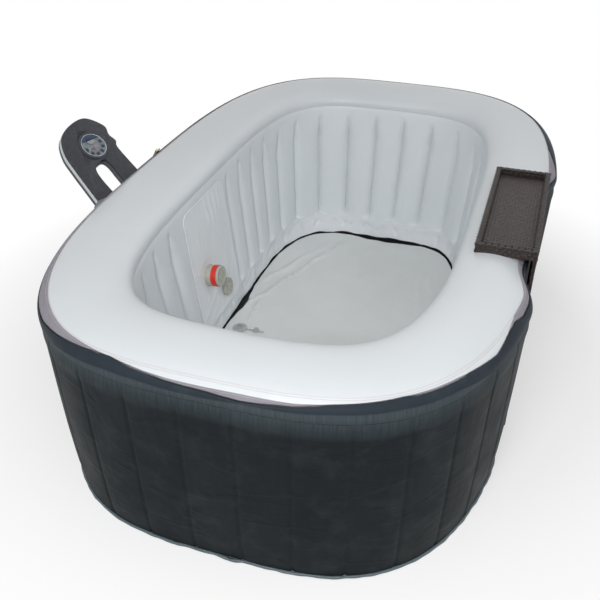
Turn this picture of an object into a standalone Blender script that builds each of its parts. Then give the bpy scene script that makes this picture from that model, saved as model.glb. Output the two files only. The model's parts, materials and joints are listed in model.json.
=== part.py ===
"""Inflatable two-person hot tub: ribbed air wall, zipped jacket, built-in pump unit, control arm and tray.

The origin is on the ground under the middle of the tub. X runs across the tub, Y along it, Z up.
The pump unit and the control arm are on the -X side, the tray is on the +X side.
"""

import math

import bmesh
import bpy
import numpy as np
from mathutils import Matrix, Vector

# Whole tub
tub_length = 1.90
plan_roundness = 3.2
gap = 0.0003
sheet = 0.0015
overrun = 0.02
even_diagonal_share = 1.0001
outer_stations = 72
inner_stations = 44

# Rim: the broad tube round the top
rim_centre_height = 0.497
rim_half_height = 0.046
rim_roundness = 2.3
rim_width = 0.215
rim_opening_length = 1.470
rim_opening_roundness = 3.8
rim_angles = (-14, 4, 30, 42, 70, 110, 150, 188)
rim_inner_angles = (-14, 30, 70, 110, 150, 188)

# Inner wall with its upright ribs
floor_width = 0.670
floor_length = 1.270
floor_roundness = 4.7
rib_count = 38
rib_depth = 0.023
rib_crest_drop = 0.003
rib_fade = 0.028
ribs_low = 0.080
skirt_low = 0.016
flat_margin = 0.015

# Waist of the outer wall, where the tray's leg presses it in
waist_depth = 0.042
waist_low_y = -0.46
waist_high_y = 0.30
waist_ramp = 0.17

# Ground sheet, floor and mat
ground_inset = 0.0245
floor_hem = 0.022
mat_inset = 0.003
mat_thickness = 0.0085
mat_edge = 0.003

# Jacket
jacket_skin = 0.0015
jacket_play = 0.0015
jacket_seam_depth = 0.003
jacket_low = 0.011
jacket_hip = 0.30
jacket_low_inset = 0.0235
jacket_hip_inset = 0.0070
jacket_top_inset = 0.0036
jacket_gather = 0.020
band_skin = 0.0020
band_angles = (-11, 4, 29)
tape_skin = 0.0008
tape_angles = (30.5, 42)
piping_radius = 0.004
piping_sides = 4

# Air wall webs and the bubble ring
web_thickness = 0.0015
web_step = 2
web_top = 0.440
web_wall_play = 0.003
bubble_radius = 0.006
bubble_setback = 0.005
bubble_sides = 4

# Pump unit casing, in its pocket inside the wall
unit_low_y = -0.300
unit_high_y = 0.100
pipe_space = 0.090
unit_depth = 0.187
unit_cover_depth = 0.092
unit_stand_out = 0.005
unit_low = 0.0112
unit_top = 0.435
unit_wall = 0.003
unit_base_inset = 0.020
pocket_play = 0.004
pocket_edge_play = 0.012
window_play = 0.0025
vent_count = 9
vent_width = 0.006
vent_height = 0.060
vent_pitch = 0.016
vent_low = 0.250
vent_start_y = -0.250

# Flat panel on the inner wall
panel_low = 0.070
panel_top = 0.470
panel_low_y = -0.235
panel_high_y = 0.075
panel_thickness = 0.002
panel_seat = 0.0018
panel_corner = 0.030
panel_corner_steps = 4

# Filter fitting
filter_sides = 20
filter_y = -0.132
filter_height = 0.230
filter_radius = 0.0315
filter_wall = 0.003
filter_reach = 0.036
filter_flange = 0.0345
filter_flange_thickness = 0.004
filter_neck = 0.0225
filter_bore = 0.0190
filter_neck_depth = 0.080
filter_cap_thickness = 0.006
filter_cap_plug = 0.004
filter_cap_play = 0.0009
filter_cap_hole = 0.0035
filter_cap_hole_ring = 0.0165
filter_cap_holes = 8
filter_band_low = 0.018
filter_band_width = 0.017
filter_band_skin = 0.0015
filter_pleats = 20
filter_pleat_depth = 0.005
filter_core = 0.010
nut_radius = 0.0330
nut_thickness = 0.008
gasket_thickness = 0.0012
neck_play = 0.0008

# Outlet fitting
outlet_sides = 16
outlet_y = -0.040
outlet_height = 0.135
outlet_radius = 0.029
outlet_flange_thickness = 0.005
outlet_neck = 0.0160
outlet_bore = 0.0130
outlet_neck_depth = 0.082
outlet_cap_thickness = 0.009
outlet_cap_hole = 0.0045
outlet_cap_hole_ring = 0.0185
outlet_cap_holes = 6
outlet_nut_radius = 0.0260

# Floor drain, its plug and strap
drain_setback = 0.050
drain_y = -0.085
drain_spacing = 0.056
drain_flange = 0.024
drain_flange_thickness = 0.003
drain_boss = 0.0115
drain_boss_height = 0.0092
drain_bore = 0.0085
drain_bore_depth = 0.0135
plug_radius = 0.0115
plug_thickness = 0.003
plug_stem = 0.0072
plug_stem_length = 0.0080
plug_closed_play = 0.0005
strap_width = 0.006
strap_thickness = 0.0016
strap_clear = 0.0015
plug_tail = 0.026

# Zip slider and puller
slider_y = 0.060
slider_length = 0.022
slider_width = 0.012
slider_thickness = 0.004
slider_play = 0.0009
slider_angle = 30
slider_ear = 0.0018
slider_ear_play = 0.0004
puller_length = 0.034
puller_width = 0.0085
puller_thickness = 0.0016
puller_barrel = 0.0022
puller_pin = 0.0009
puller_play = 0.0004

# Control arm, drawn in its own leaning plane: across, up and out of the face
arm_reach = 0.080
arm_foot_y = -0.192
arm_foot_height = 0.448
arm_turn = 20
arm_lean = 50
arm_left = 0.022
arm_width = 0.190
arm_height = 0.262
arm_front_thickness = 0.005
arm_band_thickness = 0.014
arm_rear_thickness = 0.014
arm_wall = 0.004
arm_smooth_steps = 3
arm_outer_share = (
    (0.0, 0.0), (0.0, 0.22), (0.0, 0.44), (0.02, 0.66), (0.15, 0.86), (0.42, 0.975), (0.75, 1.0),
    (0.98, 0.83), (0.955, 0.70), (0.995, 0.60), (0.945, 0.52), (0.97, 0.30), (1.0, 0.12), (1.0, 0.0),
)
arm_hand_share = (
    (0.668, 0.0), (0.65, 0.20), (0.637, 0.36), (0.585, 0.43), (0.47, 0.42),
    (0.36, 0.385), (0.318, 0.32), (0.312, 0.22), (0.325, 0.10), (0.342, 0.0),
)
arm_base_depth = 0.080
arm_base_margin = 0.003

# Control panel in the arm's head
panel_across = 0.131
panel_up = 0.168
bezel_radius = 0.049
bezel_lip = 0.0405
bezel_thickness = 0.0035
face_radius = 0.0432
face_thickness = 0.004
face_play = 0.0010
button_sides = 8
button_radius = 0.0046
button_play = 0.0004
button_flange = 0.0058
button_flange_thickness = 0.0012
button_proud = 0.0016
button_travel = 0.0008
button_stem = 0.0020
button_ring = 0.0300
button_first = 12
button_step = -36
board_radius = 0.038
board_thickness = 0.0016
board_drop = 0.0048
post_radius = 0.0025
post_ring = 0.0360
post_angles = (-78, 46, 150)
window_radius = 0.0125
window_up = 0.0180
light_radius = 0.0028
light_across = -0.002
light_up = -0.0115
button_names = (
    "power_button", "heat_button", "filter_button", "bubble_button", "warmer_button", "cooler_button",
)

# Pump, heater and blower inside the casing
pump_setback = 0.057
pump_z = 0.075
pump_radius = 0.045
pump_wall = 0.004
pump_low_y = -0.215
pump_depth = 0.042
pump_inlet = 0.014
pump_foot_width = 0.030
motor_radius = 0.038
motor_length = 0.105
shaft_radius = 0.004
shaft_play = 0.0004
shaft_reach = 0.030
impeller_radius = 0.034
impeller_disc = 0.003
impeller_vanes = 6
vane_height = 0.018
vane_width = 0.003
pipe_radius = 0.0150
pipe_bore = 0.0118
pipe_sides = 6
pipe_steps = 2
heater_setback = 0.072
heater_y = 0.045
heater_radius = 0.026
heater_low = 0.085
heater_top = 0.300
blower_y = -0.170
blower_low = 0.300
blower_radius = 0.040
blower_depth = 0.055
blower_wall = 0.003
fan_radius = 0.032
fan_disc = 0.003
fan_blades = 8
hose_radius = 0.0085
hose_bore = 0.0065
hose_clear = 0.0030
board_low_y = -0.105
board_high_y = 0.075
board_low_z = 0.205
board_high_z = 0.305
card_thickness = 0.0016
card_setback = 0.010
gland_y = 0.060
gland_z = 0.045
gland_radius = 0.011
gland_bore = 0.004
gland_length = 0.018

# Tray on the rim
tray_width = 0.149
tray_low_y = -0.290
tray_high_y = 0.180
tray_deck_thickness = 0.010
tray_border_height = 0.026
tray_border_width = 0.012
tray_leg_thickness = 0.010
tray_leg_inset = 0.020
tray_leg_play = 0.006

# Worked out from the sizes above
unit_inner_x = -floor_width / 2 - pipe_space
unit_outer_x = unit_inner_x - unit_depth
unit_split_x = unit_outer_x + unit_cover_depth
half_width = -unit_outer_x - unit_stand_out
tub_width = half_width * 2
rim_opening_width = tub_width - rim_width * 2
drain_x = drain_setback - floor_width / 2
arm_foot = (unit_outer_x - arm_reach, arm_foot_y, arm_foot_height)
pump_x = unit_inner_x - pump_setback
heater_x = unit_outer_x + heater_setback
tray_outer_x = half_width - waist_depth + tray_leg_play + tray_leg_thickness
tray_inner_x = tray_outer_x - tray_width
blower_x = unit_outer_x + unit_wall + gap + blower_radius
tape_grow = gap
band_grow = tape_grow + tape_skin + gap
band_reach = band_grow + band_skin
ground_top = sheet
floor_low = ground_top + gap
floor_top = floor_low + sheet
mat_low = floor_top + gap
mat_top = mat_low + mat_thickness
lean = math.atan2((rim_opening_width - floor_width) / 2, rim_centre_height)


def material(name, colour, roughness, metallic=0.0):
    """A plain shader of one colour."""
    made = bpy.data.materials.new(name)
    made.use_nodes = True
    shader = made.node_tree.nodes["Principled BSDF"]
    shader.inputs["Base Color"].default_value = (*colour, 1)
    shader.inputs["Roughness"].default_value = roughness
    shader.inputs["Metallic"].default_value = metallic
    return made


pale_vinyl = ((0.80, 0.83, 0.84), 0.38)
rib_vinyl = ((0.62, 0.66, 0.67), 0.42)
mat_vinyl = ((0.55, 0.57, 0.56), 0.55)
black_vinyl = ((0.02, 0.02, 0.02), 0.6)
jacket_leather = ((0.020, 0.027, 0.033), 0.5)
band_leather = ((0.045, 0.060, 0.070), 0.5)
tape_cloth = ((0.30, 0.28, 0.31), 0.8)
piping_vinyl = ((0.09, 0.12, 0.14), 0.5)
zip_metal = ((0.60, 0.57, 0.50), 0.35, 0.9)
beige_plastic = ((0.52, 0.52, 0.45), 0.45)
red_plastic = ((0.70, 0.02, 0.01), 0.4)
white_paper = ((0.80, 0.80, 0.78), 0.9)
grey_plastic = ((0.20, 0.21, 0.22), 0.5)
dark_plastic = ((0.035, 0.035, 0.042), 0.5)
side_plastic = ((0.68, 0.74, 0.74), 0.4)
face_plastic = ((0.24, 0.27, 0.28), 0.4)
button_plastic = ((0.03, 0.06, 0.12), 0.4)
screen_glass = ((0.30, 0.33, 0.32), 0.1)
light_red = ((0.80, 0.02, 0.02), 0.2)
board_green = ((0.02, 0.15, 0.06), 0.6)
motor_metal = ((0.35, 0.35, 0.36), 0.4, 0.8)
pipe_plastic = ((0.70, 0.70, 0.70), 0.4)
wicker = ((0.035, 0.022, 0.018), 0.7)


def finish(obj, look):
    """Gives a piece its own material and smooth shading with sharp edges kept."""
    obj.data.materials.clear()
    obj.data.materials.append(material(obj.name, *look))
    obj.data.shade_smooth()
    obj.data.set_sharp_from_angle(angle=math.radians(35))
    return obj


def mesh_object(name, points, faces, look):
    """An object from points and faces, its normals turned outwards."""
    mesh = bpy.data.meshes.new(name)
    mesh.from_pydata([tuple(point) for point in points], [], faces)
    shape = bmesh.new()
    shape.from_mesh(mesh)
    bmesh.ops.recalc_face_normals(shape, faces=shape.faces)
    shape.to_mesh(mesh)
    shape.free()
    obj = bpy.data.objects.new(name, mesh)
    bpy.context.scene.collection.objects.link(obj)
    return finish(obj, look)


def laid_flat(points, face):
    """A face of four points, cut along its shorter diagonal where it is twisted, so that walls stay apart.

    Where both diagonals are as long, it takes the first.
    """
    first, second, third, fourth = (points[index] for index in face)
    one_way, other_way = third - first, fourth - second
    normal = np.cross(one_way, other_way)
    if abs(normal @ (second - first)) < gap / 30 * np.linalg.norm(normal):
        return [face]
    if np.linalg.norm(one_way) < np.linalg.norm(other_way) * even_diagonal_share:
        return [(face[0], face[1], face[2]), (face[0], face[2], face[3])]
    return [(face[0], face[1], face[3]), (face[1], face[2], face[3])]


def loft(name, rows, look, closed=True):
    """Joins closed rows of points. A closed loft joins its last row to its first too, as round a ring."""
    count = len(rows[0])
    points = np.concatenate(rows)
    faces = []
    for row in range(len(rows) if closed else len(rows) - 1):
        here, there = row * count, (row + 1) % len(rows) * count
        for step in range(count):
            after = (step + 1) % count
            faces += laid_flat(points, (here + step, here + after, there + after, there + step))
    if not closed:
        faces.append(tuple(range(count - 1, -1, -1)))
        faces.append(tuple(range(len(points) - count, len(points))))
    return mesh_object(name, points, faces, look)


def seat(obj, origin):
    """Puts a piece's origin on its joint's axis, and leaves the piece where it is."""
    obj.data.transform(Matrix.Translation(-Vector(origin)))
    obj.location = origin
    return obj


def cutter(obj):
    """Makes a piece a helper that isn't part of the tub."""
    obj.hide_render = True
    obj.display_type = "WIRE"
    return obj


def carve(obj, other, operation="DIFFERENCE"):
    """Cuts a helper from a piece, or joins it to the piece."""
    change = obj.modifiers.new(other.name, "BOOLEAN")
    change.operation = operation
    change.solver = "EXACT"
    change.object = cutter(other)
    return obj


def box(name, low, high, look=grey_plastic):
    """A block between two corners."""
    low, high = np.minimum(low, high), np.maximum(low, high)
    bottom = np.array([(low[0], low[1], low[2]), (high[0], low[1], low[2]),
                       (high[0], high[1], low[2]), (low[0], high[1], low[2])])
    top = bottom.copy()
    top[:, 2] = high[2]
    return loft(name, [bottom, top], look, closed=False)


def frame_at(point, axis, across):
    """A frame whose Z is the axis and whose X is the direction across it."""
    z = Vector(axis).normalized()
    x = Vector(across)
    x = (x - z * x.dot(z)).normalized()
    y = z.cross(x)
    turn = Matrix((x, y, z)).transposed().to_4x4()
    return Matrix.Translation(Vector(point)) @ turn


def circle(radius, height, sides, turn=0.0):
    """Points of a level circle."""
    angle = np.linspace(0, 2 * math.pi, sides, endpoint=False) + turn
    return np.stack([radius * np.cos(angle), radius * np.sin(angle), np.full(sides, height)], 1)


def turned(name, profile, frame, look, sides=16, bored=False):
    """A turned piece: its profile is radius and height, from low to high, and back down its bore."""
    rows = [circle(radius, height, sides) for radius, height in profile]
    obj = loft(name, rows, look, closed=bored)
    obj.data.transform(frame)
    return obj


def holes(name, radius, ring, count, low, high, frame, sides=6, first=0.0):
    """A set of round pins on a circle, used to cut holes."""
    points, faces = [], []
    for index in range(count):
        angle = first + 2 * math.pi * index / count
        middle = np.array([ring * math.cos(angle), ring * math.sin(angle), 0.0])
        start = len(points)
        points.extend(circle(radius, low, sides) + middle)
        points.extend(circle(radius, high, sides) + middle)
        for step in range(sides):
            after = (step + 1) % sides
            faces.append((start + step, start + after, start + sides + after, start + sides + step))
        faces.append(tuple(range(start + sides - 1, start - 1, -1)))
        faces.append(tuple(range(start + sides, start + 2 * sides)))
    obj = mesh_object(name, points, faces, grey_plastic)
    obj.data.transform(frame)
    return obj


def smooth_path(points, steps):
    """Points along a smooth curve through the given points, ends included."""
    points = np.array(points, float)
    padded = np.concatenate([[2 * points[0] - points[1]], points, [2 * points[-1] - points[-2]]])
    made = []
    for index in range(1, len(padded) - 2):
        before, start, end, after = padded[index - 1:index + 3]
        for step in range(steps):
            t = step / steps
            made.append(0.5 * (2 * start + (end - before) * t
                               + (2 * before - 5 * start + 4 * end - after) * t ** 2
                               + (3 * start - before - 3 * end + after) * t ** 3))
    made.append(points[-1])
    return np.array(made)


def pipe(name, path, radius, bore, look):
    """A bored pipe along a smooth path."""
    path = np.array(path)
    route = smooth_path(path, pipe_steps)
    along = np.gradient(route, axis=0)
    along[0], along[-1] = path[1] - path[0], path[-1] - path[-2]
    along /= np.linalg.norm(along, axis=1)[:, None]
    side = np.cross(along[0], (0.13, 0.21, 0.97))
    outer, inner = [], []
    for point, direction in zip(route, along):
        side = side - direction * np.dot(side, direction)
        side /= np.linalg.norm(side)
        other = np.cross(direction, side)
        angle = np.linspace(0, 2 * math.pi, pipe_sides, endpoint=False)
        spokes = np.outer(np.cos(angle), side) + np.outer(np.sin(angle), other)
        outer.append(point + radius * spokes)
        inner.append(point + bore * spokes)
    return loft(name, outer + inner[::-1], look)


def oval(width, length, roundness, count):
    """Evenly spaced points of a rounded oval, from +X towards +Y."""
    turn = np.linspace(0, 2 * math.pi, 4001)
    c, s = np.cos(turn), np.sin(turn)
    x = width / 2 * np.sign(c) * np.abs(c) ** (2 / roundness)
    y = length / 2 * np.sign(s) * np.abs(s) ** (2 / roundness)
    run = np.concatenate([[0.0], np.cumsum(np.hypot(np.diff(x), np.diff(y)))])
    at = np.linspace(0, run[-1], count, endpoint=False)
    return np.stack([np.interp(at, run, x), np.interp(at, run, y)], 1)


def rise(value):
    """A smooth step from 0 to 1."""
    value = np.clip(value, 0, 1)
    return value * value * (3 - 2 * value)


def outer_oval(inset, count):
    """The tub's outer outline, drawn in by an inset and pressed in at the tray."""
    points = oval(tub_width - 2 * inset, tub_length - 2 * inset, plan_roundness, count)
    along = oval(tub_width, tub_length, plan_roundness, count)[:, 1]
    press = rise((along - waist_low_y) / waist_ramp) * rise((waist_high_y - along) / waist_ramp)
    points[:, 0] -= np.where(points[:, 0] > 0, waist_depth * press, 0)
    return points


def inner_oval(height, count, grow=0.0):
    """The opening's outline at a height: it widens evenly from the floor to the rim."""
    share = height / rim_centre_height
    width = floor_width + (rim_opening_width - floor_width) * share
    length = floor_length + (rim_opening_length - floor_length) * share
    roundness = floor_roundness + (rim_opening_roundness - floor_roundness) * share
    return oval(width + 2 * grow, length + 2 * grow, roundness, count)


def level(points, height):
    """Plan points at a height."""
    return np.column_stack([points, np.full(len(points), height)])


def rim_row(angle, grow, count=outer_stations):
    """One line along the rim's section: 0 degrees is its outermost line, 90 its crown, 180 its inner side."""
    outer = outer_oval(band_reach, count)
    inner = oval(rim_opening_width, rim_opening_length, rim_opening_roundness, count)
    half = (outer - inner) / 2
    reach = np.linalg.norm(half, axis=1)[:, None]
    c, s = math.cos(math.radians(angle)), math.sin(math.radians(angle))
    across = math.copysign(abs(c) ** (2 / rim_roundness), c)
    upward = math.copysign(abs(s) ** (2 / rim_roundness), s)
    plan = (outer + inner) / 2 + half / reach * (reach + grow) * across
    return level(plan, rim_centre_height + (rim_half_height + grow) * upward)


def rim_strip(name, angles, low_angles, low_grow, high_grow, look):
    """A sheet that follows the rim's section, given the angles of its outer and of its inner lines."""
    upper = [rim_row(angle, high_grow) for angle in angles]
    lower = [rim_row(angle, low_grow) for angle in reversed(low_angles)]
    return loft(name, upper + lower, look)


def outward(points):
    """Unit normals of a closed plan outline, pointing out."""
    along = np.roll(points, -1, axis=0) - np.roll(points, 1, axis=0)
    normal = np.stack([along[:, 1], -along[:, 0]], 1)
    return normal / np.linalg.norm(normal, axis=1)[:, None]


# Wall, floor and rim

def ground_sheet():
    plan = outer_oval(ground_inset, outer_stations)
    return loft("ground_sheet", [level(plan, 0.0), level(plan, ground_top)], black_vinyl, closed=False)


def tub_floor():
    plan = inner_oval(floor_low, outer_stations, floor_hem)
    return loft("tub_floor", [level(plan, floor_low), level(plan, floor_top)], black_vinyl, closed=False)


def floor_mat():
    edge = -mat_inset
    rows = [level(inner_oval(0.0, inner_stations, edge - mat_edge), mat_low),
            level(inner_oval(0.0, inner_stations, edge), mat_low + mat_edge),
            level(inner_oval(0.0, inner_stations, edge), mat_top - mat_edge),
            level(inner_oval(0.0, inner_stations, edge - mat_edge), mat_top)]
    mat = loft("floor_mat", rows, mat_vinyl, closed=False)
    well = turned("drain_hole", [(drain_boss + neck_play, floor_low),
                                 (drain_boss + neck_play, mat_top + overrun)],
                  Matrix.Translation((drain_x, drain_y, 0)), grey_plastic)
    return carve(mat, well)


def beside(point, low_y, high_y):
    """Whether a plan point lies on the pump unit's side of the tub, within a span."""
    return point[0] < 0 and low_y < point[1] < high_y


def inner_wall():
    stations = rib_count * 3
    top = rim_row(rim_angles[-1], 0)[0][2] - gap
    rows = ((ribs_low, 0, 0), (ribs_low + rib_fade, 1, 0), (top - rib_fade, 1, 0), (top, 0, sheet))
    front, back = [], []
    for height, full, grow in rows:
        plan = inner_oval(height, stations, grow)
        normal = outward(plan)
        push = np.array([rib_depth if step % 3 == 0 else rib_crest_drop for step in range(stations)])
        push *= full
        push[[beside(point, panel_low_y - flat_margin, panel_high_y + flat_margin) for point in plan]] = 0
        front.append(level(plan + normal * push[:, None], height))
        back.append(level(plan + normal * (push + sheet)[:, None], height))
    wall = loft("inner_wall", front + back[::-1], rib_vinyl)
    for y, height, radius in ((filter_y, filter_height, filter_neck),
                              (outlet_y, outlet_height, outlet_neck)):
        carve(wall, neck_hole("wall_hole", y, height, radius))
    return wall


def outer_wall():
    play = jacket_seam_depth + jacket_skin + jacket_play
    rows = ((floor_low, jacket_low_inset), (rim_row(rim_angles[0], 0)[0][2] - gap, jacket_top_inset))
    outer = [level(outer_oval(inset + play, outer_stations), height) for height, inset in rows]
    inner = [level(outer_oval(inset + play + sheet, outer_stations), height) for height, inset in rows]
    wall = loft("outer_wall", outer + inner[::-1], pale_vinyl)
    return carve(wall, unit_window("wall_window", unit_low - gap, pocket_play - gap))


def unit_window(name, low, margin):
    """A block that opens the wall or the jacket round the pump unit."""
    return box(name, (unit_outer_x - overrun, unit_low_y - margin, low),
               (unit_split_x, unit_high_y + margin, unit_top + margin + arm_base_margin + window_play * 2))


def nearest(outline, point):
    """The point of a closed outline that lies nearest to a point inside it."""
    start, along = outline, np.roll(outline, -1, axis=0) - outline
    share = ((point - start) * along).sum(axis=1) / (along * along).sum(axis=1)
    places = start + along * np.clip(share, 0, 1)[:, None]
    return places[np.argmin(np.linalg.norm(places - point, axis=1))]


def upright_bars(name, ends, width):
    """Flat upright bars: each runs from one point to another, at its low and at its high end."""
    points, faces = [], []
    for low_start, low_end, high_start, high_end, low, high in ends:
        start = len(points)
        for first, last, height in ((low_start, low_end, low), (high_start, high_end, high)):
            along = last - first
            side = np.array([-along[1], along[0]]) / np.linalg.norm(along) * width / 2
            corners = (first - side, last - side, last + side, first + side)
            points.extend((*plan, height) for plan in corners)
        faces += [tuple(start + corner for corner in face) for face in
                  ((0, 3, 2, 1), (4, 5, 6, 7), (0, 1, 5, 4), (1, 2, 6, 5), (2, 3, 7, 6), (3, 0, 4, 7))]
    return mesh_object(name, points, faces, pale_vinyl)


def web_ring():
    """The upright webs that tie the inner wall to the outer one, on the ring sheet under them."""
    wall_inset = jacket_seam_depth + jacket_skin + jacket_play + sheet + web_wall_play
    rim_side = outer_oval(jacket_low_inset + wall_inset, outer_stations)
    floor_side = inner_oval(floor_low, outer_stations, floor_hem + gap)
    rows = [level(rim_side, floor_low), level(rim_side, floor_top),
            level(floor_side, floor_top), level(floor_side, floor_low)]
    ring = loft("web_ring", rows, pale_vinyl)
    low, high = (floor_low + floor_top) / 2, web_top
    rib_reach = rib_depth + sheet + web_wall_play
    starts = []
    for height in (low, high):
        plan = inner_oval(height, rib_count * 3)
        starts.append(plan + outward(plan) * rib_reach)
    ends = []
    for step in range(0, rib_count * 3, web_step * 3):
        if beside(starts[0][step], unit_low_y - pocket_play * 5, unit_high_y + pocket_play * 5):
            continue
        low_start, high_start = starts[0][step], starts[1][step]
        low_end = nearest(rim_side, low_start)
        high_end = nearest(outer_oval(jacket_top_inset + wall_inset, outer_stations), high_start)
        ends.append((low_start, low_end, high_start, high_end, low, high))
    return carve(ring, upright_bars("webs", ends, web_thickness), "UNION")


def rim_sheet():
    return rim_strip("rim_sheet", rim_angles, rim_inner_angles, -sheet, 0, pale_vinyl)


def wall_skirt():
    heights = (ribs_low - gap, skirt_low)
    front = [level(inner_oval(height, inner_stations), height) for height in heights]
    back = [level(inner_oval(height, inner_stations, sheet), height) for height in heights]
    return loft("wall_skirt", front + back[::-1], pale_vinyl)


def ring_tube(name, plan_at, height, radius, sides, look):
    """A round tube that follows a plan outline."""
    rows = []
    corner = radius / math.cos(math.pi / sides)
    for step in range(sides):
        angle = 2 * math.pi * step / sides + math.pi / sides
        rows.append(level(plan_at(corner * math.cos(angle)), height + corner * math.sin(angle)))
    return loft(name, rows, look)


def bubble_ring():
    """The perforated air tube behind the skirt."""
    middle = sheet + bubble_setback + bubble_radius
    return ring_tube("bubble_ring", lambda reach: inner_oval(0.0, inner_stations, middle + reach),
                     floor_top + gap + bubble_radius, bubble_radius, bubble_sides, black_vinyl)


# Jacket

def jacket_wall():
    """The jacket's wall, which ends just under its top band."""
    top = rim_row(band_angles[0], band_reach)[0][2] - gap
    rows = ((jacket_low, jacket_low_inset, 1), (jacket_hip, jacket_hip_inset, 1),
            (top - jacket_gather, jacket_top_inset, 1), (top, jacket_top_inset, 0))
    front, back = [], []
    for height, inset, full in rows:
        plan = outer_oval(inset, outer_stations)
        normal = outward(plan)
        push = np.array([0 if step % 2 else jacket_seam_depth for step in range(outer_stations)]) * full
        front.append(level(plan - normal * push[:, None], height))
        back.append(level(plan - normal * (push + jacket_skin)[:, None], height))
    jacket = loft("jacket_wall", front + back[::-1], jacket_leather)
    return carve(jacket, unit_window("jacket_window", jacket_low - overrun, window_play))


def jacket_top_band():
    return rim_strip("jacket_top_band", band_angles, band_angles, band_grow, band_reach, band_leather)


def zip_tape():
    return rim_strip("zip_tape", tape_angles, tape_angles, tape_grow, tape_grow + tape_skin, tape_cloth)


def hem_piping():
    return ring_tube("hem_piping", lambda reach: outer_oval(jacket_low_inset - reach, outer_stations),
                     jacket_low - gap - piping_radius, piping_radius, piping_sides, piping_vinyl)


def slider_frame():
    """The slider's frame on the tape: Z stands out of the rim, X runs along the tape."""
    angle = math.radians(slider_angle)
    row = rim_row(slider_angle, tape_grow + tape_skin + band_skin + gap, count=720)
    side = row[row[:, 0] < 0]
    point = side[np.argmin(np.abs(side[:, 1] - slider_y))]
    return frame_at(point, (-math.cos(angle), 0, math.sin(angle)), (0, 1, 0))


def puller_height():
    """How far the puller's pin stands out from the slider's frame."""
    return slider_play + slider_thickness + puller_barrel + gap


def crosswise(frame):
    """The frame of a barrel that lies along the slider, round the puller's pin."""
    return frame @ frame_at((0, 0, puller_height()), (1, 0, 0), (0, 0, 1))


def zip_slider():
    frame = slider_frame()
    half, width = slider_length / 2, slider_width / 2
    top = slider_play + slider_thickness
    body = box("zip_slider", (-half, -width, slider_play), (half, width, top), zip_metal)
    body.data.transform(frame)
    inside = puller_width / 2 + slider_ear_play
    for side in (-1, 1):
        ear = box("slider_ear", (side * inside, -puller_barrel, top - slider_thickness / 2),
                  (side * (inside + slider_ear), puller_barrel, puller_height() + puller_pin * 1.5))
        ear.data.transform(frame)
        carve(body, ear, "UNION")
    reach = inside + slider_ear / 2
    pin = turned("slider_pin", [(puller_pin, -reach), (puller_pin, reach)], crosswise(frame), zip_metal, 8)
    return carve(body, pin, "UNION")


def zip_puller():
    """The puller turns on the slider's pin, and hangs down over the band."""
    frame = slider_frame()
    half = puller_width / 2
    bore = puller_pin + puller_play
    height = puller_height()
    profile = [(puller_barrel, -half), (puller_barrel, half), (bore, half), (bore, -half)]
    barrel = turned("zip_puller", profile, crosswise(frame), zip_metal, 10, True)
    tab = box("puller_tab", (-half, (puller_barrel + bore) / 2, height - puller_thickness / 2),
              (half, puller_length, height + puller_thickness / 2))
    eye = box("puller_eye", (-half / 2, puller_length * 0.6, height - puller_thickness),
              (half / 2, puller_length - half / 2, height + puller_thickness))
    for piece in (tab, eye):
        piece.data.transform(frame)
    carve(barrel, tab, "UNION")
    return seat(carve(barrel, eye), frame @ Vector((0, 0, height)))


# Flat panel and its two fittings

def panel_point(y, height, out=0.0):
    """A point of the panel's front face, given its height along the panel."""
    foot = -floor_width / 2 + panel_seat + panel_thickness
    return Vector((foot - height * math.sin(lean) + out * math.cos(lean), y,
                   height * math.cos(lean) + out * math.sin(lean)))


def panel_frame(y, height):
    """The frame of a fitting: Z comes out of the panel, X points up it."""
    return frame_at(panel_point(y, height), (math.cos(lean), 0, math.sin(lean)),
                    (-math.sin(lean), 0, math.cos(lean)))


def neck_hole(name, y, height, radius):
    """A pin that cuts a fitting's hole."""
    return turned(name, [(radius + neck_play, -overrun * 2), (radius + neck_play, overrun)],
                  panel_frame(y, height), grey_plastic)


def rounded_rectangle(low, high, corner, steps):
    """Plan points of a rectangle with round corners."""
    points = []
    corners = ((high[0], high[1]), (low[0], high[1]), (low[0], low[1]), (high[0], low[1]))
    for index, (x, y) in enumerate(corners):
        middle = (x - corner * (1 if x == high[0] else -1), y - corner * (1 if y == high[1] else -1))
        for step in range(steps + 1):
            angle = math.pi / 2 * (index + step / steps)
            points.append((middle[0] + corner * math.cos(angle), middle[1] + corner * math.sin(angle)))
    return np.array(points)


def wall_panel():
    plan = rounded_rectangle((panel_low, panel_low_y), (panel_top, panel_high_y), panel_corner,
                             panel_corner_steps)
    front = [panel_point(y, height) for height, y in plan]
    back = [panel_point(y, height, -panel_thickness) for height, y in plan]
    panel = loft("wall_panel", [back, front], rib_vinyl, closed=False)
    for y, height, radius in ((filter_y, filter_height, filter_neck),
                              (outlet_y, outlet_height, outlet_neck)):
        carve(panel, neck_hole("panel_hole", y, height, radius))
    return panel


def filter_housing():
    inner = filter_radius - filter_wall
    profile = [(filter_neck, -filter_neck_depth), (filter_neck, gap), (filter_flange, gap),
               (filter_flange, filter_flange_thickness), (filter_radius, filter_flange_thickness),
               (filter_radius, filter_reach), (inner, filter_reach), (inner, filter_wall),
               (filter_bore, filter_wall), (filter_bore, -filter_neck_depth)]
    return turned("filter_housing", profile, panel_frame(filter_y, filter_height), beige_plastic,
                  filter_sides, True)


def filter_band():
    low, high = filter_band_low, filter_band_low + filter_band_width
    inner = filter_radius + gap
    outer = inner + filter_band_skin
    profile = [(outer, low), (outer, high), (inner, high), (inner, low)]
    return turned("filter_band", profile, panel_frame(filter_y, filter_height), red_plastic, filter_sides,
                  True)


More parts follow.
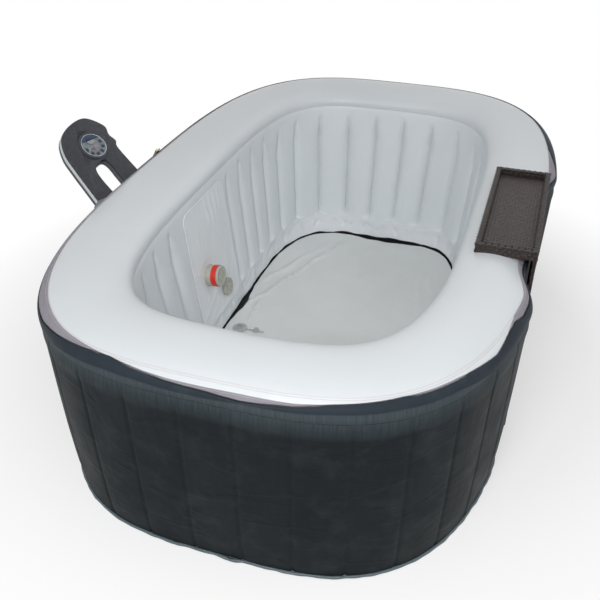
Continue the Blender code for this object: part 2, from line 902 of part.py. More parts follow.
def filter_cap():
    frame = panel_frame(filter_y, filter_height)
    plug = filter_radius - filter_wall - filter_cap_play
    low, high = filter_reach + gap, filter_reach + filter_cap_thickness
    profile = [(plug, low - filter_cap_plug), (plug, low), (filter_radius, low),
               (filter_radius, high - filter_wall / 2),
               (filter_radius - filter_wall / 2, high)]
    cap = turned("filter_cap", profile, frame, beige_plastic, filter_sides)
    carve(cap, holes("filter_cap_holes", filter_cap_hole, filter_cap_hole_ring, filter_cap_holes,
                     low - overrun, high + overrun, frame))
    return seat(cap, frame.translation)


def filter_cartridge():
    """Pleated paper round an open core."""
    low, high = filter_wall + gap, filter_reach - filter_cap_plug - gap
    reach = filter_radius - filter_wall - gap * 3
    angle = np.linspace(0, 2 * math.pi, filter_pleats * 2, endpoint=False)
    radius = np.where(np.arange(filter_pleats * 2) % 2, reach - filter_pleat_depth, reach)
    star = np.stack([radius * np.cos(angle), radius * np.sin(angle)], 1)
    core = np.stack([filter_core * np.cos(angle), filter_core * np.sin(angle)], 1)
    rows = [level(star, low), level(star, high), level(core, high), level(core, low)]
    cartridge = loft("filter_cartridge", rows, white_paper)
    cartridge.data.transform(panel_frame(filter_y, filter_height))
    return cartridge


def behind_wall():
    """How far behind the panel's face the back of the inner wall lies."""
    return panel_thickness + panel_seat + sheet


def filter_gasket():
    top = -behind_wall() - gap
    inner = filter_neck + neck_play
    profile = [(nut_radius, top - gasket_thickness), (nut_radius, top), (inner, top),
               (inner, top - gasket_thickness)]
    return turned("filter_gasket", profile, panel_frame(filter_y, filter_height), black_vinyl, 16, True)


def clamp_nut(name, y, height, neck, radius, top):
    """A six-sided nut behind the wall."""
    frame = panel_frame(y, height)
    inner = circle((neck + gap) / math.cos(math.pi / 12), 0, 12)
    angle = np.linspace(0, 2 * math.pi, 12, endpoint=False)
    flats = radius / np.cos((angle + math.pi / 6) % (math.pi / 3) - math.pi / 6)
    outer = np.stack([flats * np.cos(angle), flats * np.sin(angle)], 1)
    rows = [level(outer, top - nut_thickness), level(outer, top), level(inner[:, :2], top),
            level(inner[:, :2], top - nut_thickness)]
    nut = loft(name, rows, beige_plastic)
    nut.data.transform(frame)
    return nut


def filter_nut():
    return clamp_nut("filter_nut", filter_y, filter_height, filter_neck, nut_radius,
                     -behind_wall() - gasket_thickness - gap * 2)


def outlet_nut():
    return clamp_nut("outlet_nut", outlet_y, outlet_height, outlet_neck, outlet_nut_radius,
                     -behind_wall() - gap)


def outlet_body():
    profile = [(outlet_neck, -outlet_neck_depth), (outlet_neck, gap), (outlet_radius, gap),
               (outlet_radius, outlet_flange_thickness), (outlet_bore, outlet_flange_thickness),
               (outlet_bore, -outlet_neck_depth)]
    return turned("outlet_body", profile, panel_frame(outlet_y, outlet_height), beige_plastic,
                  outlet_sides, True)


def outlet_cap():
    frame = panel_frame(outlet_y, outlet_height)
    low = outlet_flange_thickness + gap
    high = low + outlet_cap_thickness
    profile = [(outlet_radius, low), (outlet_radius, high - filter_wall),
               (outlet_radius - filter_wall, high)]
    cap = turned("outlet_cap", profile, frame, beige_plastic, outlet_sides)
    carve(cap, holes("outlet_cap_holes", outlet_cap_hole, outlet_cap_hole_ring, outlet_cap_holes,
                     low - overrun, high + overrun, frame))
    return seat(cap, frame.translation)


# Floor drain

def drain_socket():
    seat_height = mat_top + gap
    boss_top = seat_height + drain_boss_height
    profile = [(drain_boss, mat_low), (drain_boss, seat_height), (drain_flange, seat_height),
               (drain_flange, seat_height + drain_flange_thickness),
               (drain_boss, seat_height + drain_flange_thickness),
               (drain_boss, boss_top), (drain_bore, boss_top), (drain_bore, boss_top - drain_bore_depth),
               (drain_bore / 3, boss_top - drain_bore_depth), (drain_bore / 3, mat_low)]
    socket = turned("drain_socket", profile, Matrix.Translation((drain_x, drain_y, 0)), beige_plastic, 12,
                    True)
    return carve(socket, strap("socket_strap", drain_x + drain_flange - drain_flange_thickness,
                               plug_hinge().x - strap_clear), "UNION")


def strap(name, low_x, high_x):
    """A length of the flat strap that holds the plug to its socket."""
    middle = mat_top + gap + plug_thickness / 2
    return box(name, (low_x, drain_y - strap_width / 2, middle - strap_thickness / 2),
               (high_x, drain_y + strap_width / 2, middle + strap_thickness / 2))


def plug_hinge():
    """The strap's fold line, half way between the socket and the open plug."""
    seat_height = mat_top + gap
    height = (seat_height + drain_boss_height + plug_closed_play + seat_height + plug_thickness) / 2
    return Vector((drain_x + drain_spacing / 2, drain_y, height))


def drain_plug():
    """The plug lies open beside its socket, stem up, on its strap."""
    low = mat_top + gap
    middle = drain_x + drain_spacing
    profile = [(plug_radius, low), (plug_radius, low + plug_thickness), (plug_stem, low + plug_thickness),
               (plug_stem, low + plug_thickness + plug_stem_length)]
    plug = turned("drain_plug", profile, Matrix.Translation((middle, drain_y, 0)), beige_plastic)
    carve(plug, strap("plug_strap", plug_hinge().x + strap_clear, middle + plug_tail), "UNION")
    return seat(plug, plug_hinge())


# Pump unit

def unit_pocket():
    """The sleeve through the air wall that holds the casing."""
    low_y, high_y = unit_low_y - pocket_play, unit_high_y + pocket_play
    low, high = floor_top + gap, unit_top + pocket_play
    inner_x = unit_inner_x + pocket_play
    outer_x = -half_width + jacket_low_inset + jacket_seam_depth + jacket_skin + sheet + pocket_edge_play
    sleeve = box("unit_pocket", (outer_x, low_y, low), (inner_x, high_y, high), pale_vinyl)
    hollow = box("pocket_hollow", (outer_x - overrun, low_y + sheet, low + sheet),
                 (inner_x + overrun, high_y - sheet, high - sheet))
    return carve(sleeve, hollow)


def unit_base():
    low = floor_top + gap + sheet + gap
    base_outer_x = unit_outer_x + jacket_low_inset + unit_base_inset
    return box("unit_base", (base_outer_x, unit_low_y + unit_base_inset, low),
               (unit_inner_x - unit_base_inset, unit_high_y - unit_base_inset, unit_low - gap),
               grey_plastic)


def unit_shell(name, open_x, closed_x, look):
    """Half of the casing: a box with one side open at the parting line."""
    shell = box(name, (open_x, unit_low_y, unit_low), (closed_x, unit_high_y, unit_top), look)
    inward = math.copysign(unit_wall, open_x - closed_x)
    past = math.copysign(overrun, open_x - closed_x)
    hollow = box(name + "_hollow", (open_x + past, unit_low_y + unit_wall, unit_low + unit_wall),
                 (closed_x + inward, unit_high_y - unit_wall, unit_top - unit_wall))
    return carve(shell, hollow)


def hose_exit():
    """Where the air hose leaves the casing for the bubble ring."""
    return (unit_inner_x, filter_y, unit_low + unit_wall + hose_radius + hose_clear)


def unit_inner_shell():
    shell = unit_shell("unit_inner_shell", unit_split_x + gap, unit_inner_x, grey_plastic)
    for y, height, radius, sides in ((filter_y, filter_height, filter_neck, filter_sides),
                                     (outlet_y, outlet_height, outlet_neck, outlet_sides)):
        hole = turned("casing_hole", [(radius + gap, -overrun * 5), (radius + gap, 0)],
                      panel_frame(y, height),
                      grey_plastic, sides)
        carve(shell, hole)
    x, y, z = hose_exit()
    port = turned("hose_port", [(hose_radius + neck_play, -overrun), (hose_radius + neck_play, overrun)],
                  frame_at((x, y, z), (1, 0, 0), (0, 0, 1)), grey_plastic)
    return carve(shell, port)


def arm_frame():
    """The arm's frame: X across it, Y up it, Z out of its face."""
    turn, tilt = math.radians(arm_turn), math.radians(arm_lean)
    across = Vector((math.sin(turn), math.cos(turn), 0))
    level_out = Vector((-math.cos(turn), math.sin(turn), 0))
    upward = math.cos(tilt) * Vector((0, 0, 1)) + math.sin(tilt) * level_out
    axes = Matrix((across, upward, across.cross(upward))).transposed().to_4x4()
    return Matrix.Translation(Vector(arm_foot)) @ axes


def unit_outer_shell():
    shell = unit_shell("unit_outer_shell", unit_split_x - gap, unit_outer_x, grey_plastic)
    slots = []
    for index in range(vent_count):
        y = vent_start_y + index * vent_pitch
        slot = box("vent", (unit_outer_x - overrun, y, vent_low - vent_height * 2),
                   (unit_outer_x + unit_wall + overrun, y + vent_width, vent_low - vent_height))
        slots.append(slot)
    for slot in slots:
        carve(shell, slot)
    port = turned("gland_hole", [(gland_radius / 2 + neck_play, -overrun),
                                 (gland_radius / 2 + neck_play, overrun)],
                  frame_at((unit_outer_x, gland_y, gland_z), (-1, 0, 0), (0, 0, 1)), grey_plastic, 12)
    carve(shell, port)
    thickness = arm_front_thickness + arm_band_thickness + arm_rear_thickness
    base = box("arm_base", (arm_left - arm_base_margin, -arm_base_depth, -thickness - arm_base_margin),
               (arm_left + arm_width + arm_base_margin, -gap, arm_base_margin))
    base.data.transform(arm_frame())
    return carve(shell, base, "UNION")


def pump_frame():
    return frame_at((pump_x, pump_low_y, pump_z), (0, 1, 0), (0, 0, 1))


def pump_housing():
    """The volute: open to the suction pipe on its axis, the delivery pipe on top and the motor behind."""
    inner = pump_radius - pump_wall
    depth = pump_depth
    profile = [(pump_radius, 0), (pump_radius, depth), (shaft_radius + shaft_play * 3, depth),
               (shaft_radius + shaft_play * 3, depth - pump_wall), (inner, depth - pump_wall),
               (inner, pump_wall), (pump_inlet, pump_wall), (pump_inlet, 0)]
    housing = turned("pump_housing", profile, pump_frame(), dark_plastic, 20, True)
    delivery = turned("pump_delivery", [(pipe_bore, 0), (pipe_bore, pump_radius + overrun)],
                      frame_at((pump_x, pump_low_y + depth / 2, pump_z), (0, 0, 1), (0, 1, 0)),
                      grey_plastic, 8)
    foot = box("pump_foot", (pump_x - pump_foot_width / 2, pump_low_y, unit_low + unit_wall + gap),
               (pump_x + pump_foot_width / 2, pump_low_y + depth, pump_z - pump_radius + pump_wall / 2))
    carve(housing, foot, "UNION")
    return carve(housing, delivery)


def pump_motor():
    low = pump_depth + gap
    high = low + motor_length
    bore = shaft_radius + shaft_play
    profile = [(motor_radius, low), (motor_radius, high), (bore / 2, high),
               (bore / 2, low + shaft_reach + gap * 4),
               (bore, low + shaft_reach + gap * 4), (bore, low)]
    return turned("pump_motor", profile, pump_frame(), motor_metal, 16, True)


def bladed_rotor(name, frame, hub, disc_radius, disc_low, disc_thickness, blades, blade_height, shaft_low,
                 shaft_high):
    """A disc on a shaft with flat blades standing on it."""
    profile = [(shaft_radius, shaft_low), (shaft_radius, disc_low), (disc_radius, disc_low),
               (disc_radius, disc_low + disc_thickness), (shaft_radius, disc_low + disc_thickness),
               (shaft_radius, shaft_high)]
    rotor = turned(name, profile, frame, side_plastic, 12)
    points, faces = [], []
    low, high = sorted((disc_low + disc_thickness / 2, disc_low + disc_thickness / 2 + blade_height))
    for index in range(blades):
        angle = 2 * math.pi * index / blades
        along = np.array([math.cos(angle), math.sin(angle)])
        side = np.array([-along[1], along[0]]) * vane_width / 2
        start = len(points)
        for height in (low, high):
            for plan in (along * hub - side, along * (disc_radius - gap) - side,
                         along * (disc_radius - gap) + side, along * hub + side):
                points.append((*plan, height))
        faces += [tuple(start + corner for corner in face) for face in
                  ((0, 3, 2, 1), (4, 5, 6, 7), (0, 1, 5, 4), (1, 2, 6, 5), (2, 3, 7, 6), (3, 0, 4, 7))]
    vanes = mesh_object(name + "_blades", points, faces, grey_plastic)
    vanes.data.transform(frame)
    return seat(carve(rotor, vanes, "UNION"), frame.translation)


def pump_impeller():
    disc_low = pump_depth - pump_wall - impeller_disc - shaft_play * 4
    return bladed_rotor("pump_impeller", pump_frame(), shaft_radius * 2, impeller_radius, disc_low,
                        impeller_disc,
                        impeller_vanes, -vane_height, disc_low - gap, pump_depth + shaft_reach)


def heater_tube():
    frame = Matrix.Translation((heater_x, heater_y, 0))
    bore = pipe_bore
    profile = [(pipe_radius, heater_low), (heater_radius, heater_low + pipe_radius),
               (heater_radius, heater_top - pipe_radius), (pipe_radius, heater_top), (bore, heater_top),
               (bore, heater_low)]
    return turned("heater_tube", profile, frame, motor_metal, 16, True)


def blower_frame():
    return Matrix.Translation((blower_x, blower_y, blower_low))


def blower_housing():
    """A cup that holds the fan, open to the air hose below, with the motor's bearing above."""
    inner = blower_radius - blower_wall
    motor_top = blower_depth + fan_radius
    profile = [(blower_radius, 0), (blower_radius, blower_depth), (fan_radius / 2, blower_depth),
               (fan_radius / 2, motor_top), (shaft_radius + shaft_play, motor_top),
               (shaft_radius + shaft_play, blower_depth - blower_wall), (inner, blower_depth - blower_wall),
               (inner, blower_wall), (hose_bore, blower_wall), (hose_bore, 0)]
    return turned("blower_housing", profile, blower_frame(), dark_plastic, 16, True)


def blower_fan():
    disc_low = blower_depth - blower_wall - fan_disc - shaft_play * 4
    return bladed_rotor("blower_fan", blower_frame(), shaft_radius * 2, fan_radius, disc_low, fan_disc,
                        fan_blades, -vane_height, disc_low - gap, blower_depth + fan_radius / 2)


def circuit_board():
    outer = unit_outer_x + unit_wall + gap
    card = box("circuit_board", (outer + card_setback, board_low_y, board_low_z),
               (outer + card_setback + card_thickness, board_high_y, board_high_z), board_green)
    middle_y, middle_z = (board_low_y + board_high_y) / 2, (board_low_z + board_high_z) / 2
    reach_y = (board_high_y - board_low_y) / 2 - card_setback
    reach_z = (board_high_z - board_low_z) / 2 - card_setback
    for sign_y in (-1, 1):
        for sign_z in (-1, 1):
            y, z = middle_y + sign_y * reach_y, middle_z + sign_z * reach_z
            post = box("card_post", (outer, y - post_radius, z - post_radius),
                       (outer + card_setback + card_thickness / 2, y + post_radius, z + post_radius))
            carve(card, post, "UNION")
    relay = box("card_relay", (outer + card_setback + card_thickness / 2, middle_y, middle_z),
                (outer + card_setback * 3, middle_y + card_setback * 3, middle_z + card_setback * 2))
    return carve(card, relay, "UNION")


def neck_end(y, height, depth):
    """The middle of a fitting's neck at its back end."""
    return panel_frame(y, height) @ Vector((0, 0, -depth))


def suction_pipe():
    """From the filter's neck down beside the pump's own pipe to the pump's inlet."""
    start = neck_end(filter_y, filter_height, filter_neck_depth + gap)
    run = -Vector((math.cos(lean), 0, math.sin(lean)))
    inlet = Vector((pump_x, pump_low_y - gap, pump_z))
    turn_y = pump_low_y - pipe_radius * 3
    beside_x = pump_x + pipe_radius * 2.2
    path = [start, start + run * pipe_radius,
            (beside_x - pipe_radius, filter_y - pipe_radius * 2, start.z - pipe_radius),
            (beside_x, (filter_y + turn_y) / 2 - pipe_radius, start.z - pipe_radius * 2.5),
            (pump_x + pipe_radius, turn_y, (start.z + pump_z) / 2),
            (pump_x, turn_y + pipe_radius / 2, pump_z + pipe_radius),
            inlet - Vector((0, pipe_radius, 0)), inlet]
    return pipe("suction_pipe", path, pipe_radius, pipe_bore, pipe_plastic)


def pump_pipe():
    """From the top of the pump over the motor to the foot of the heater."""
    y = pump_low_y + pump_depth / 2
    top = pump_z + pump_radius + gap * 2
    low = heater_low - gap
    crest = top + pipe_radius * 2.5
    middle_x = (pump_x + heater_x) / 2 - pipe_radius
    path = [(pump_x, y, top), (pump_x, y, top + pipe_radius),
            (pump_x - pipe_radius, y + pipe_radius * 2, crest),
            (middle_x, y + pipe_radius * 6, crest),
            (heater_x, heater_y - pipe_radius * 6, low + pipe_radius),
            (heater_x, heater_y - pipe_radius * 3, low - pipe_radius * 2.5),
            (heater_x, heater_y - pipe_radius / 2, low - pipe_radius * 2.2),
            (heater_x, heater_y, low - pipe_radius),
            (heater_x, heater_y, low)]
    return pipe("pump_pipe", path, pipe_radius, pipe_bore, pipe_plastic)


def return_pipe():
    """From the heater's top back to the outlet's neck."""
    end = neck_end(outlet_y, outlet_height, outlet_neck_depth + gap)
    run = Vector((math.cos(lean), 0, math.sin(lean)))
    top = heater_top + gap
    bend = pipe_radius * 2
    back = end - run * bend * 1.3
    path = [(heater_x, heater_y, top), (heater_x, heater_y, top + pipe_radius),
            (heater_x + bend / 2, heater_y - bend, top + bend), (back.x - pipe_radius, outlet_y, top),
            (back.x, outlet_y, end.z + bend * 2),
            (back.x + pipe_radius / 2, outlet_y, end.z + pipe_radius / 2),
            end - run * pipe_radius, end]
    return pipe("return_pipe", path, pipe_radius, pipe_bore, pipe_plastic)


def air_hose():
    """From the blower down to the bubble ring."""
    x, y, z = hose_exit()
    ring_x = -floor_width / 2 - sheet - bubble_setback - bubble_radius * 2
    low = floor_top + bubble_radius
    path = [(blower_x, blower_y, blower_low - gap), (blower_x, blower_y, blower_low - hose_radius * 2),
            (blower_x, (blower_y + y) / 2, blower_low / 2), (blower_x, y, z + hose_radius * 3),
            (blower_x + hose_radius * 3, y, z), (x, y, z),
            (ring_x - hose_radius * 2, y, (z + low) / 2 + hose_radius / 2),
            (ring_x - gap - hose_radius / 4, y, low + hose_radius / 2)]
    return pipe("air_hose", path, hose_radius, hose_bore, black_vinyl)


def cable_gland():
    """The gland for the supply cord, on the casing's outer face."""
    profile = [(gland_radius / 2, -unit_wall - gland_bore), (gland_radius / 2, gap), (gland_radius, gap),
               (gland_radius, gland_length / 2), (gland_radius / 2, gland_length),
               (gland_bore, gland_length),
               (gland_bore, -unit_wall - gland_bore)]
    return turned("cable_gland", profile, frame_at((unit_outer_x, gland_y, gland_z), (-1, 0, 0), (0, 0, 1)),
                  dark_plastic, 12, True)


# Control arm

def arm_outline():
    """The arm's outline in its own plane: up the outer edge, then back round the hand gap."""
    scale = np.array([arm_width, arm_height])
    start = np.array([arm_left, 0.0])
    outer = smooth_path(np.array(arm_outer_share) * scale + start, arm_smooth_steps)
    hand = smooth_path(np.array(arm_hand_share) * scale + start, arm_smooth_steps)
    return np.concatenate([outer, hand])


def drawn_in(outline, distance):
    """An outline drawn in by a distance, each corner mitred."""
    before = outline - np.roll(outline, 1, axis=0)
    after = np.roll(outline, -1, axis=0) - outline
    normals = []
    for edge in (before, after):
        edge = edge / np.linalg.norm(edge, axis=1)[:, None]
        normals.append(np.stack([edge[:, 1], -edge[:, 0]], 1))
    middle = normals[0] + normals[1]
    middle /= np.linalg.norm(middle, axis=1)[:, None]
    reach = distance / np.clip((middle * normals[0]).sum(axis=1), 0.5, 1)
    return outline + middle * reach[:, None]


def panel_disc_frame():
    """The control panel's frame: its middle on the arm's face, Z out of the face."""
    return arm_frame() @ Matrix.Translation((panel_across, panel_up, 0))


def arm_front_shell():
    outline = arm_outline()
    shell = loft("arm_front_shell", [level(outline, -arm_front_thickness), level(outline, 0.0)],
                 dark_plastic,
                 closed=False)
    shell.data.transform(arm_frame())
    opening = turned("face_opening", [(face_radius + face_play, -overrun),
                                      (face_radius + face_play, overrun)],
                     panel_disc_frame(), grey_plastic, 24)
    return carve(shell, opening)


def arm_side_band():
    outline = arm_outline()
    inner = drawn_in(outline, arm_wall)
    high = -arm_front_thickness - gap
    low = high - arm_band_thickness
    band = loft("arm_side_band", [level(outline, low), level(outline, high), level(inner, high),
                                  level(inner, low)],
                side_plastic)
    band.data.transform(arm_frame())
    return band


def arm_rear_shell():
    outline = arm_outline()
    inner = drawn_in(outline, arm_wall)
    high = -arm_front_thickness - arm_band_thickness - gap * 2
    low = high - arm_rear_thickness + gap * 2
    shell = loft("arm_rear_shell", [level(outline, low), level(outline, high), level(inner, high),
                                    level(inner, low + arm_wall)], dark_plastic, closed=False)
    shell.data.transform(arm_frame())
    return shell


def panel_bezel():
    profile = [(bezel_radius, gap), (bezel_radius, bezel_thickness / 2),
               (bezel_radius - bezel_thickness / 2, bezel_thickness),
               (bezel_lip + bezel_thickness / 2, bezel_thickness), (bezel_lip, gap)]
    return turned("panel_bezel", profile, panel_disc_frame(), side_plastic, 24, True)


def button_places():
    """Where the round buttons stand on the panel: an arc below the screen."""
    places = []
    for index in range(len(button_names)):
        angle = math.radians(button_first + button_step * index)
        places.append((button_ring * math.cos(angle), button_ring * math.sin(angle)))
    return places


def screen_outline(radius):
    """The screen's outline: a half disc hanging from a straight edge."""
    angle = np.linspace(math.pi, 2 * math.pi, 11)
    return np.stack([radius * np.cos(angle), window_up + radius * np.sin(angle)], 1)


def panel_face():
    frame = panel_disc_frame()
    face = turned("panel_face", [(face_radius, -face_thickness), (face_radius, 0.0)], frame, face_plastic,
                  24)
    for x, y in button_places():
        hole = turned("button_hole", [(button_radius + button_play, -overrun),
                                      (button_radius + button_play, overrun)],
                      frame @ Matrix.Translation((x, y, 0)), grey_plastic, button_sides)
        carve(face, hole)
    screen = screen_outline(window_radius + button_play)
    screen[[0, -1], 1] += button_play
    opening = loft("screen_opening", [level(screen, -overrun), level(screen, overrun)], grey_plastic,
                   closed=False)
    opening.data.transform(frame)
    carve(face, opening)
    light = turned("light_hole", [(light_radius + button_play, -overrun),
                                  (light_radius + button_play, overrun)],
                   frame @ Matrix.Translation((light_across, light_up, 0)), grey_plastic, 8)
    carve(face, light)
    for angle in post_angles:
        turn = math.radians(angle)
        place = (post_ring * math.cos(turn), post_ring * math.sin(turn), 0)
        post = turned("face_post", [(post_radius, -face_thickness - board_drop + gap),
                                    (post_radius, -face_thickness / 2)],
                      frame @ Matrix.Translation(place), grey_plastic, 6)
        carve(face, post, "UNION")
    return face


def keypad_board():
    top = -face_thickness - board_drop
    return turned("keypad_board", [(board_radius, top - board_thickness), (board_radius, top)],
                  panel_disc_frame(),
                  board_green, 20)


def display_window():
    outline = screen_outline(window_radius)
    window = loft("display_window", [level(outline, -face_thickness), level(outline, gap)], screen_glass,
                  closed=False)
    window.data.transform(panel_disc_frame())
    return window


def indicator_light():
    frame = panel_disc_frame() @ Matrix.Translation((light_across, light_up, 0))
    profile = [(light_radius, -face_thickness), (light_radius, light_radius / 4),
               (light_radius / 2, light_radius / 2)]
    return turned("indicator_light", profile, frame, light_red, 8)


def panel_buttons():
    flange_top = -face_thickness - gap
    flange_low = flange_top - button_flange_thickness
    stem_low = -face_thickness - board_drop + button_travel + gap
    profile = [(button_stem, stem_low), (button_stem, flange_low), (button_flange, flange_low),
               (button_flange, flange_top), (button_radius, flange_top), (button_radius, button_proud / 2),
               (button_radius - button_proud / 2, button_proud)]
    for name, (x, y) in zip(button_names, button_places()):
        frame = panel_disc_frame() @ Matrix.Translation((x, y, 0))
        button = turned(name, profile, frame, button_plastic, button_sides)
        seat(button, frame.translation)


# Tray

def tray_floor():
    """The height of the deck's underside: it rests on the rim's crown."""
    return max(rim_row(angle, 0)[0][2] for angle in rim_angles) + gap


def tray_deck():
    low = tray_floor()
    edge = tray_border_width + gap
    return box("tray_deck", (tray_inner_x + edge, tray_low_y + edge, low),
               (tray_outer_x - edge, tray_high_y - edge, low + tray_deck_thickness), wicker)


def tray_border():
    low = tray_floor()
    high = low + tray_border_height
    rows = []
    for inset, height in ((0, low), (0, high), (tray_border_width, high), (tray_border_width, low)):
        rows.append(np.array([(tray_outer_x - inset, tray_high_y - inset, height),
                              (tray_inner_x + inset, tray_high_y - inset, height),
                              (tray_inner_x + inset, tray_low_y + inset, height),
                              (tray_outer_x - inset, tray_low_y + inset, height)]))
    return loft("tray_border", rows, wicker)


def tray_leg():
    """The panel that stands outside the tub under the tray's outer edge."""
    low_y, high_y = tray_low_y + tray_leg_inset, tray_high_y - tray_leg_inset
    inner_x = tray_outer_x - tray_leg_thickness
    top = tray_floor() - gap
    return box("tray_leg", (inner_x, low_y, 0.0), (tray_outer_x, high_y, top), wicker)


for old in list(bpy.data.objects):
    bpy.data.objects.remove(old)

pieces = (
    ground_sheet, tub_floor, web_ring, outer_wall, inner_wall, rim_sheet, wall_skirt, floor_mat,
          bubble_ring,
    jacket_wall, jacket_top_band, zip_tape, hem_piping, zip_slider, zip_puller,
    wall_panel, filter_housing, filter_band, filter_cap, filter_cartridge, filter_gasket, filter_nut,
    outlet_body, outlet_cap, outlet_nut, drain_socket, drain_plug,
    unit_pocket, unit_base, unit_inner_shell, unit_outer_shell, pump_housing, pump_motor, pump_impeller,
    heater_tube, blower_housing, blower_fan, circuit_board, suction_pipe, pump_pipe, return_pipe, air_hose,
    cable_gland, arm_front_shell, arm_side_band, arm_rear_shell, panel_bezel, panel_face, keypad_board,
    display_window, indicator_light, panel_buttons, tray_deck, tray_border, tray_leg,
)
for make in pieces:
    make()
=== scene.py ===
"""The dressed look of an inflatable two-person hot tub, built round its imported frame.

X runs across the tub, Y along it, Z up, in metres. The control arm is on the -X side, the tray on +X.
"""

import json
import math

import bmesh
import bpy
import numpy as np
from bpy.props import FloatProperty, FloatVectorProperty, PointerProperty
from mathutils import Matrix, Vector

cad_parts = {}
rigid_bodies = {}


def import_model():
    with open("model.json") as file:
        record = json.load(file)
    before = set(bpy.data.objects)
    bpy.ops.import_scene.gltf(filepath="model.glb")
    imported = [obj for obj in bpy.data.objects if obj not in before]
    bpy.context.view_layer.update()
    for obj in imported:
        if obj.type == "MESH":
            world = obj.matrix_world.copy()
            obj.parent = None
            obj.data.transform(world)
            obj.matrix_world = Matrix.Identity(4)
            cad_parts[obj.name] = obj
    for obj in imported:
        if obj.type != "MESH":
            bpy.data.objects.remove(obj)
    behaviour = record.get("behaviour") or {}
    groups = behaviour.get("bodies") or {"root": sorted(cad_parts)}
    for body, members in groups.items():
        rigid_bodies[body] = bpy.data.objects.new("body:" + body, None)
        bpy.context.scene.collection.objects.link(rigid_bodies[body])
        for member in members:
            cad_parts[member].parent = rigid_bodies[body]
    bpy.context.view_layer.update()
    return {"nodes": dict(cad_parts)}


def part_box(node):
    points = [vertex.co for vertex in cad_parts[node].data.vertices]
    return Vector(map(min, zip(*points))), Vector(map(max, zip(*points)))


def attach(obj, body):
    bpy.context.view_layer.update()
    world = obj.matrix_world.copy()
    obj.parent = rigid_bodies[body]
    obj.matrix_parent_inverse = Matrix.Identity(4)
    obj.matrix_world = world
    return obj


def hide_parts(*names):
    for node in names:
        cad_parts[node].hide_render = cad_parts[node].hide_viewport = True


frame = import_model()

bl_info = {
    "name": "Inflatable Hot Tub",
    "version": (1, 0, 0),
    "blender": (4, 5, 0),
    "location": "3D View > Sidebar > Hot Tub",
    "description": "Dresses the frame of an inflatable hot tub",
    "category": "Add Mesh",
}

# Outline of the tub, as the frame has it
tub_length = 1.90
tub_width = 1.214
plan_roundness = 3.2
gap = 0.0003
sheet = 0.0015
waist_depth = 0.042
waist_low_y = -0.46
waist_high_y = 0.30
waist_ramp = 0.17

# Rim
rim_centre_height = 0.497
rim_half_height = 0.046
rim_roundness = 2.3
rim_opening_width = 0.784
rim_opening_length = 1.470
rim_opening_roundness = 3.8
rim_low_angle = -14
rim_high_angle = 188

# Inner wall, floor and mat
floor_width = 0.670
floor_length = 1.270
floor_roundness = 4.7
floor_hem = 0.022
rib_count = 38
ribs_low = 0.080
skirt_low = 0.016
mat_low = 0.0036
mat_top = 0.0121
flat_low_y = -0.238
flat_high_y = 0.076

# Jacket
seam_count = 44
jacket_skin = 0.0015
jacket_low = 0.011
jacket_top = 0.484
band_skin = 0.0020
tape_skin = 0.0008
tape_grow = gap
band_grow = tape_grow + tape_skin + gap
band_reach = band_grow + band_skin
# Heights over which the gathers stand out and are painted lighter: a painted highlight where they catch the
# light from above
gather_and_sheen_heights = (0.440, 0.500)
piping_radius = 0.004
unit_low_y = -0.300
unit_high_y = 0.100
unit_outer_x = -0.612
unit_split_x = -0.520
unit_window_top = 0.4455
window_play = 0.0025

# Flat panel and its fittings
panel_low = 0.070
panel_top = 0.470
panel_low_y = -0.223
panel_high_y = 0.061
panel_thickness = 0.002
panel_seat = 0.0018
panel_corner = 0.030
filter_y = -0.132
filter_height = 0.230
filter_radius = 0.0315
filter_reach = 0.036
filter_band_low = 0.018
filter_band_high = 0.035
filter_cap_thickness = 0.006
outlet_y = -0.040
outlet_height = 0.135
outlet_radius = 0.029
filter_hole_radius = 0.0233
outlet_hole_radius = 0.0168
lean = math.atan2((rim_opening_width - floor_width) / 2, rim_centre_height)

# Floor drain
drain_x = -0.285
drain_y = -0.085
drain_spacing = 0.056

# Control arm
arm_foot = (-0.692, -0.192, 0.448)
arm_turn = 20
arm_lean = 50
arm_left = 0.022
arm_width = 0.190
arm_height = 0.262
arm_front_thickness = 0.005
arm_band_thickness = 0.014
arm_rear_thickness = 0.014
arm_outer_share = (
    (0.0, 0.0), (0.0, 0.22), (0.0, 0.44), (0.02, 0.66), (0.15, 0.86), (0.42, 0.975), (0.75, 1.0),
    (0.98, 0.83), (0.955, 0.70), (0.995, 0.60), (0.945, 0.52), (0.97, 0.30), (1.0, 0.12), (1.0, 0.0),
)
arm_hand_share = (
    (0.668, 0.0), (0.65, 0.20), (0.637, 0.36), (0.585, 0.43), (0.47, 0.42),
    (0.36, 0.385), (0.318, 0.32), (0.312, 0.22), (0.325, 0.10), (0.342, 0.0),
)
panel_across = 0.131
panel_up = 0.168
bezel_radius = 0.049
bezel_lip = 0.0405
bezel_thickness = 0.0035
face_radius = 0.0432
face_thickness = 0.004
button_names = (
    "power_button", "heat_button", "filter_button", "bubble_button", "warmer_button", "cooler_button",
)
button_radius = 0.0046
button_proud = 0.0016
button_ring = 0.0300
button_first = 12
button_step = -36
window_radius = 0.0125
window_up = 0.0180
light_radius = 0.0028
light_across = -0.002
light_up = -0.0115

# Tray
tray_inner_x = 0.432
tray_outer_x = 0.581
tray_low_y = -0.290
tray_high_y = 0.180
tray_border_width = 0.012
tray_border_height = 0.026
tray_leg_thickness = 0.010
tray_leg_inset = 0.020
tray_deck_low, tray_deck_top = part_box("tray_deck")[0].z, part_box("tray_deck")[1].z


def tint(red, green, blue):
    """A colour given in steps of 255, as linear light."""
    def linear(step):
        share = step / 255
        return share / 12.92 if share <= 0.04045 else ((share + 0.055) / 1.055) ** 2.4
    return tuple(linear(step) for step in (red, green, blue))


def colour_of(name, steps, description):
    return FloatVectorProperty(name=name, description=description, default=tint(*steps), subtype="COLOR",
                               size=3, min=0, max=1)


def length_of(name, default, description):
    return FloatProperty(name=name, description=description, default=default, min=0, unit="LENGTH",
                         precision=4)


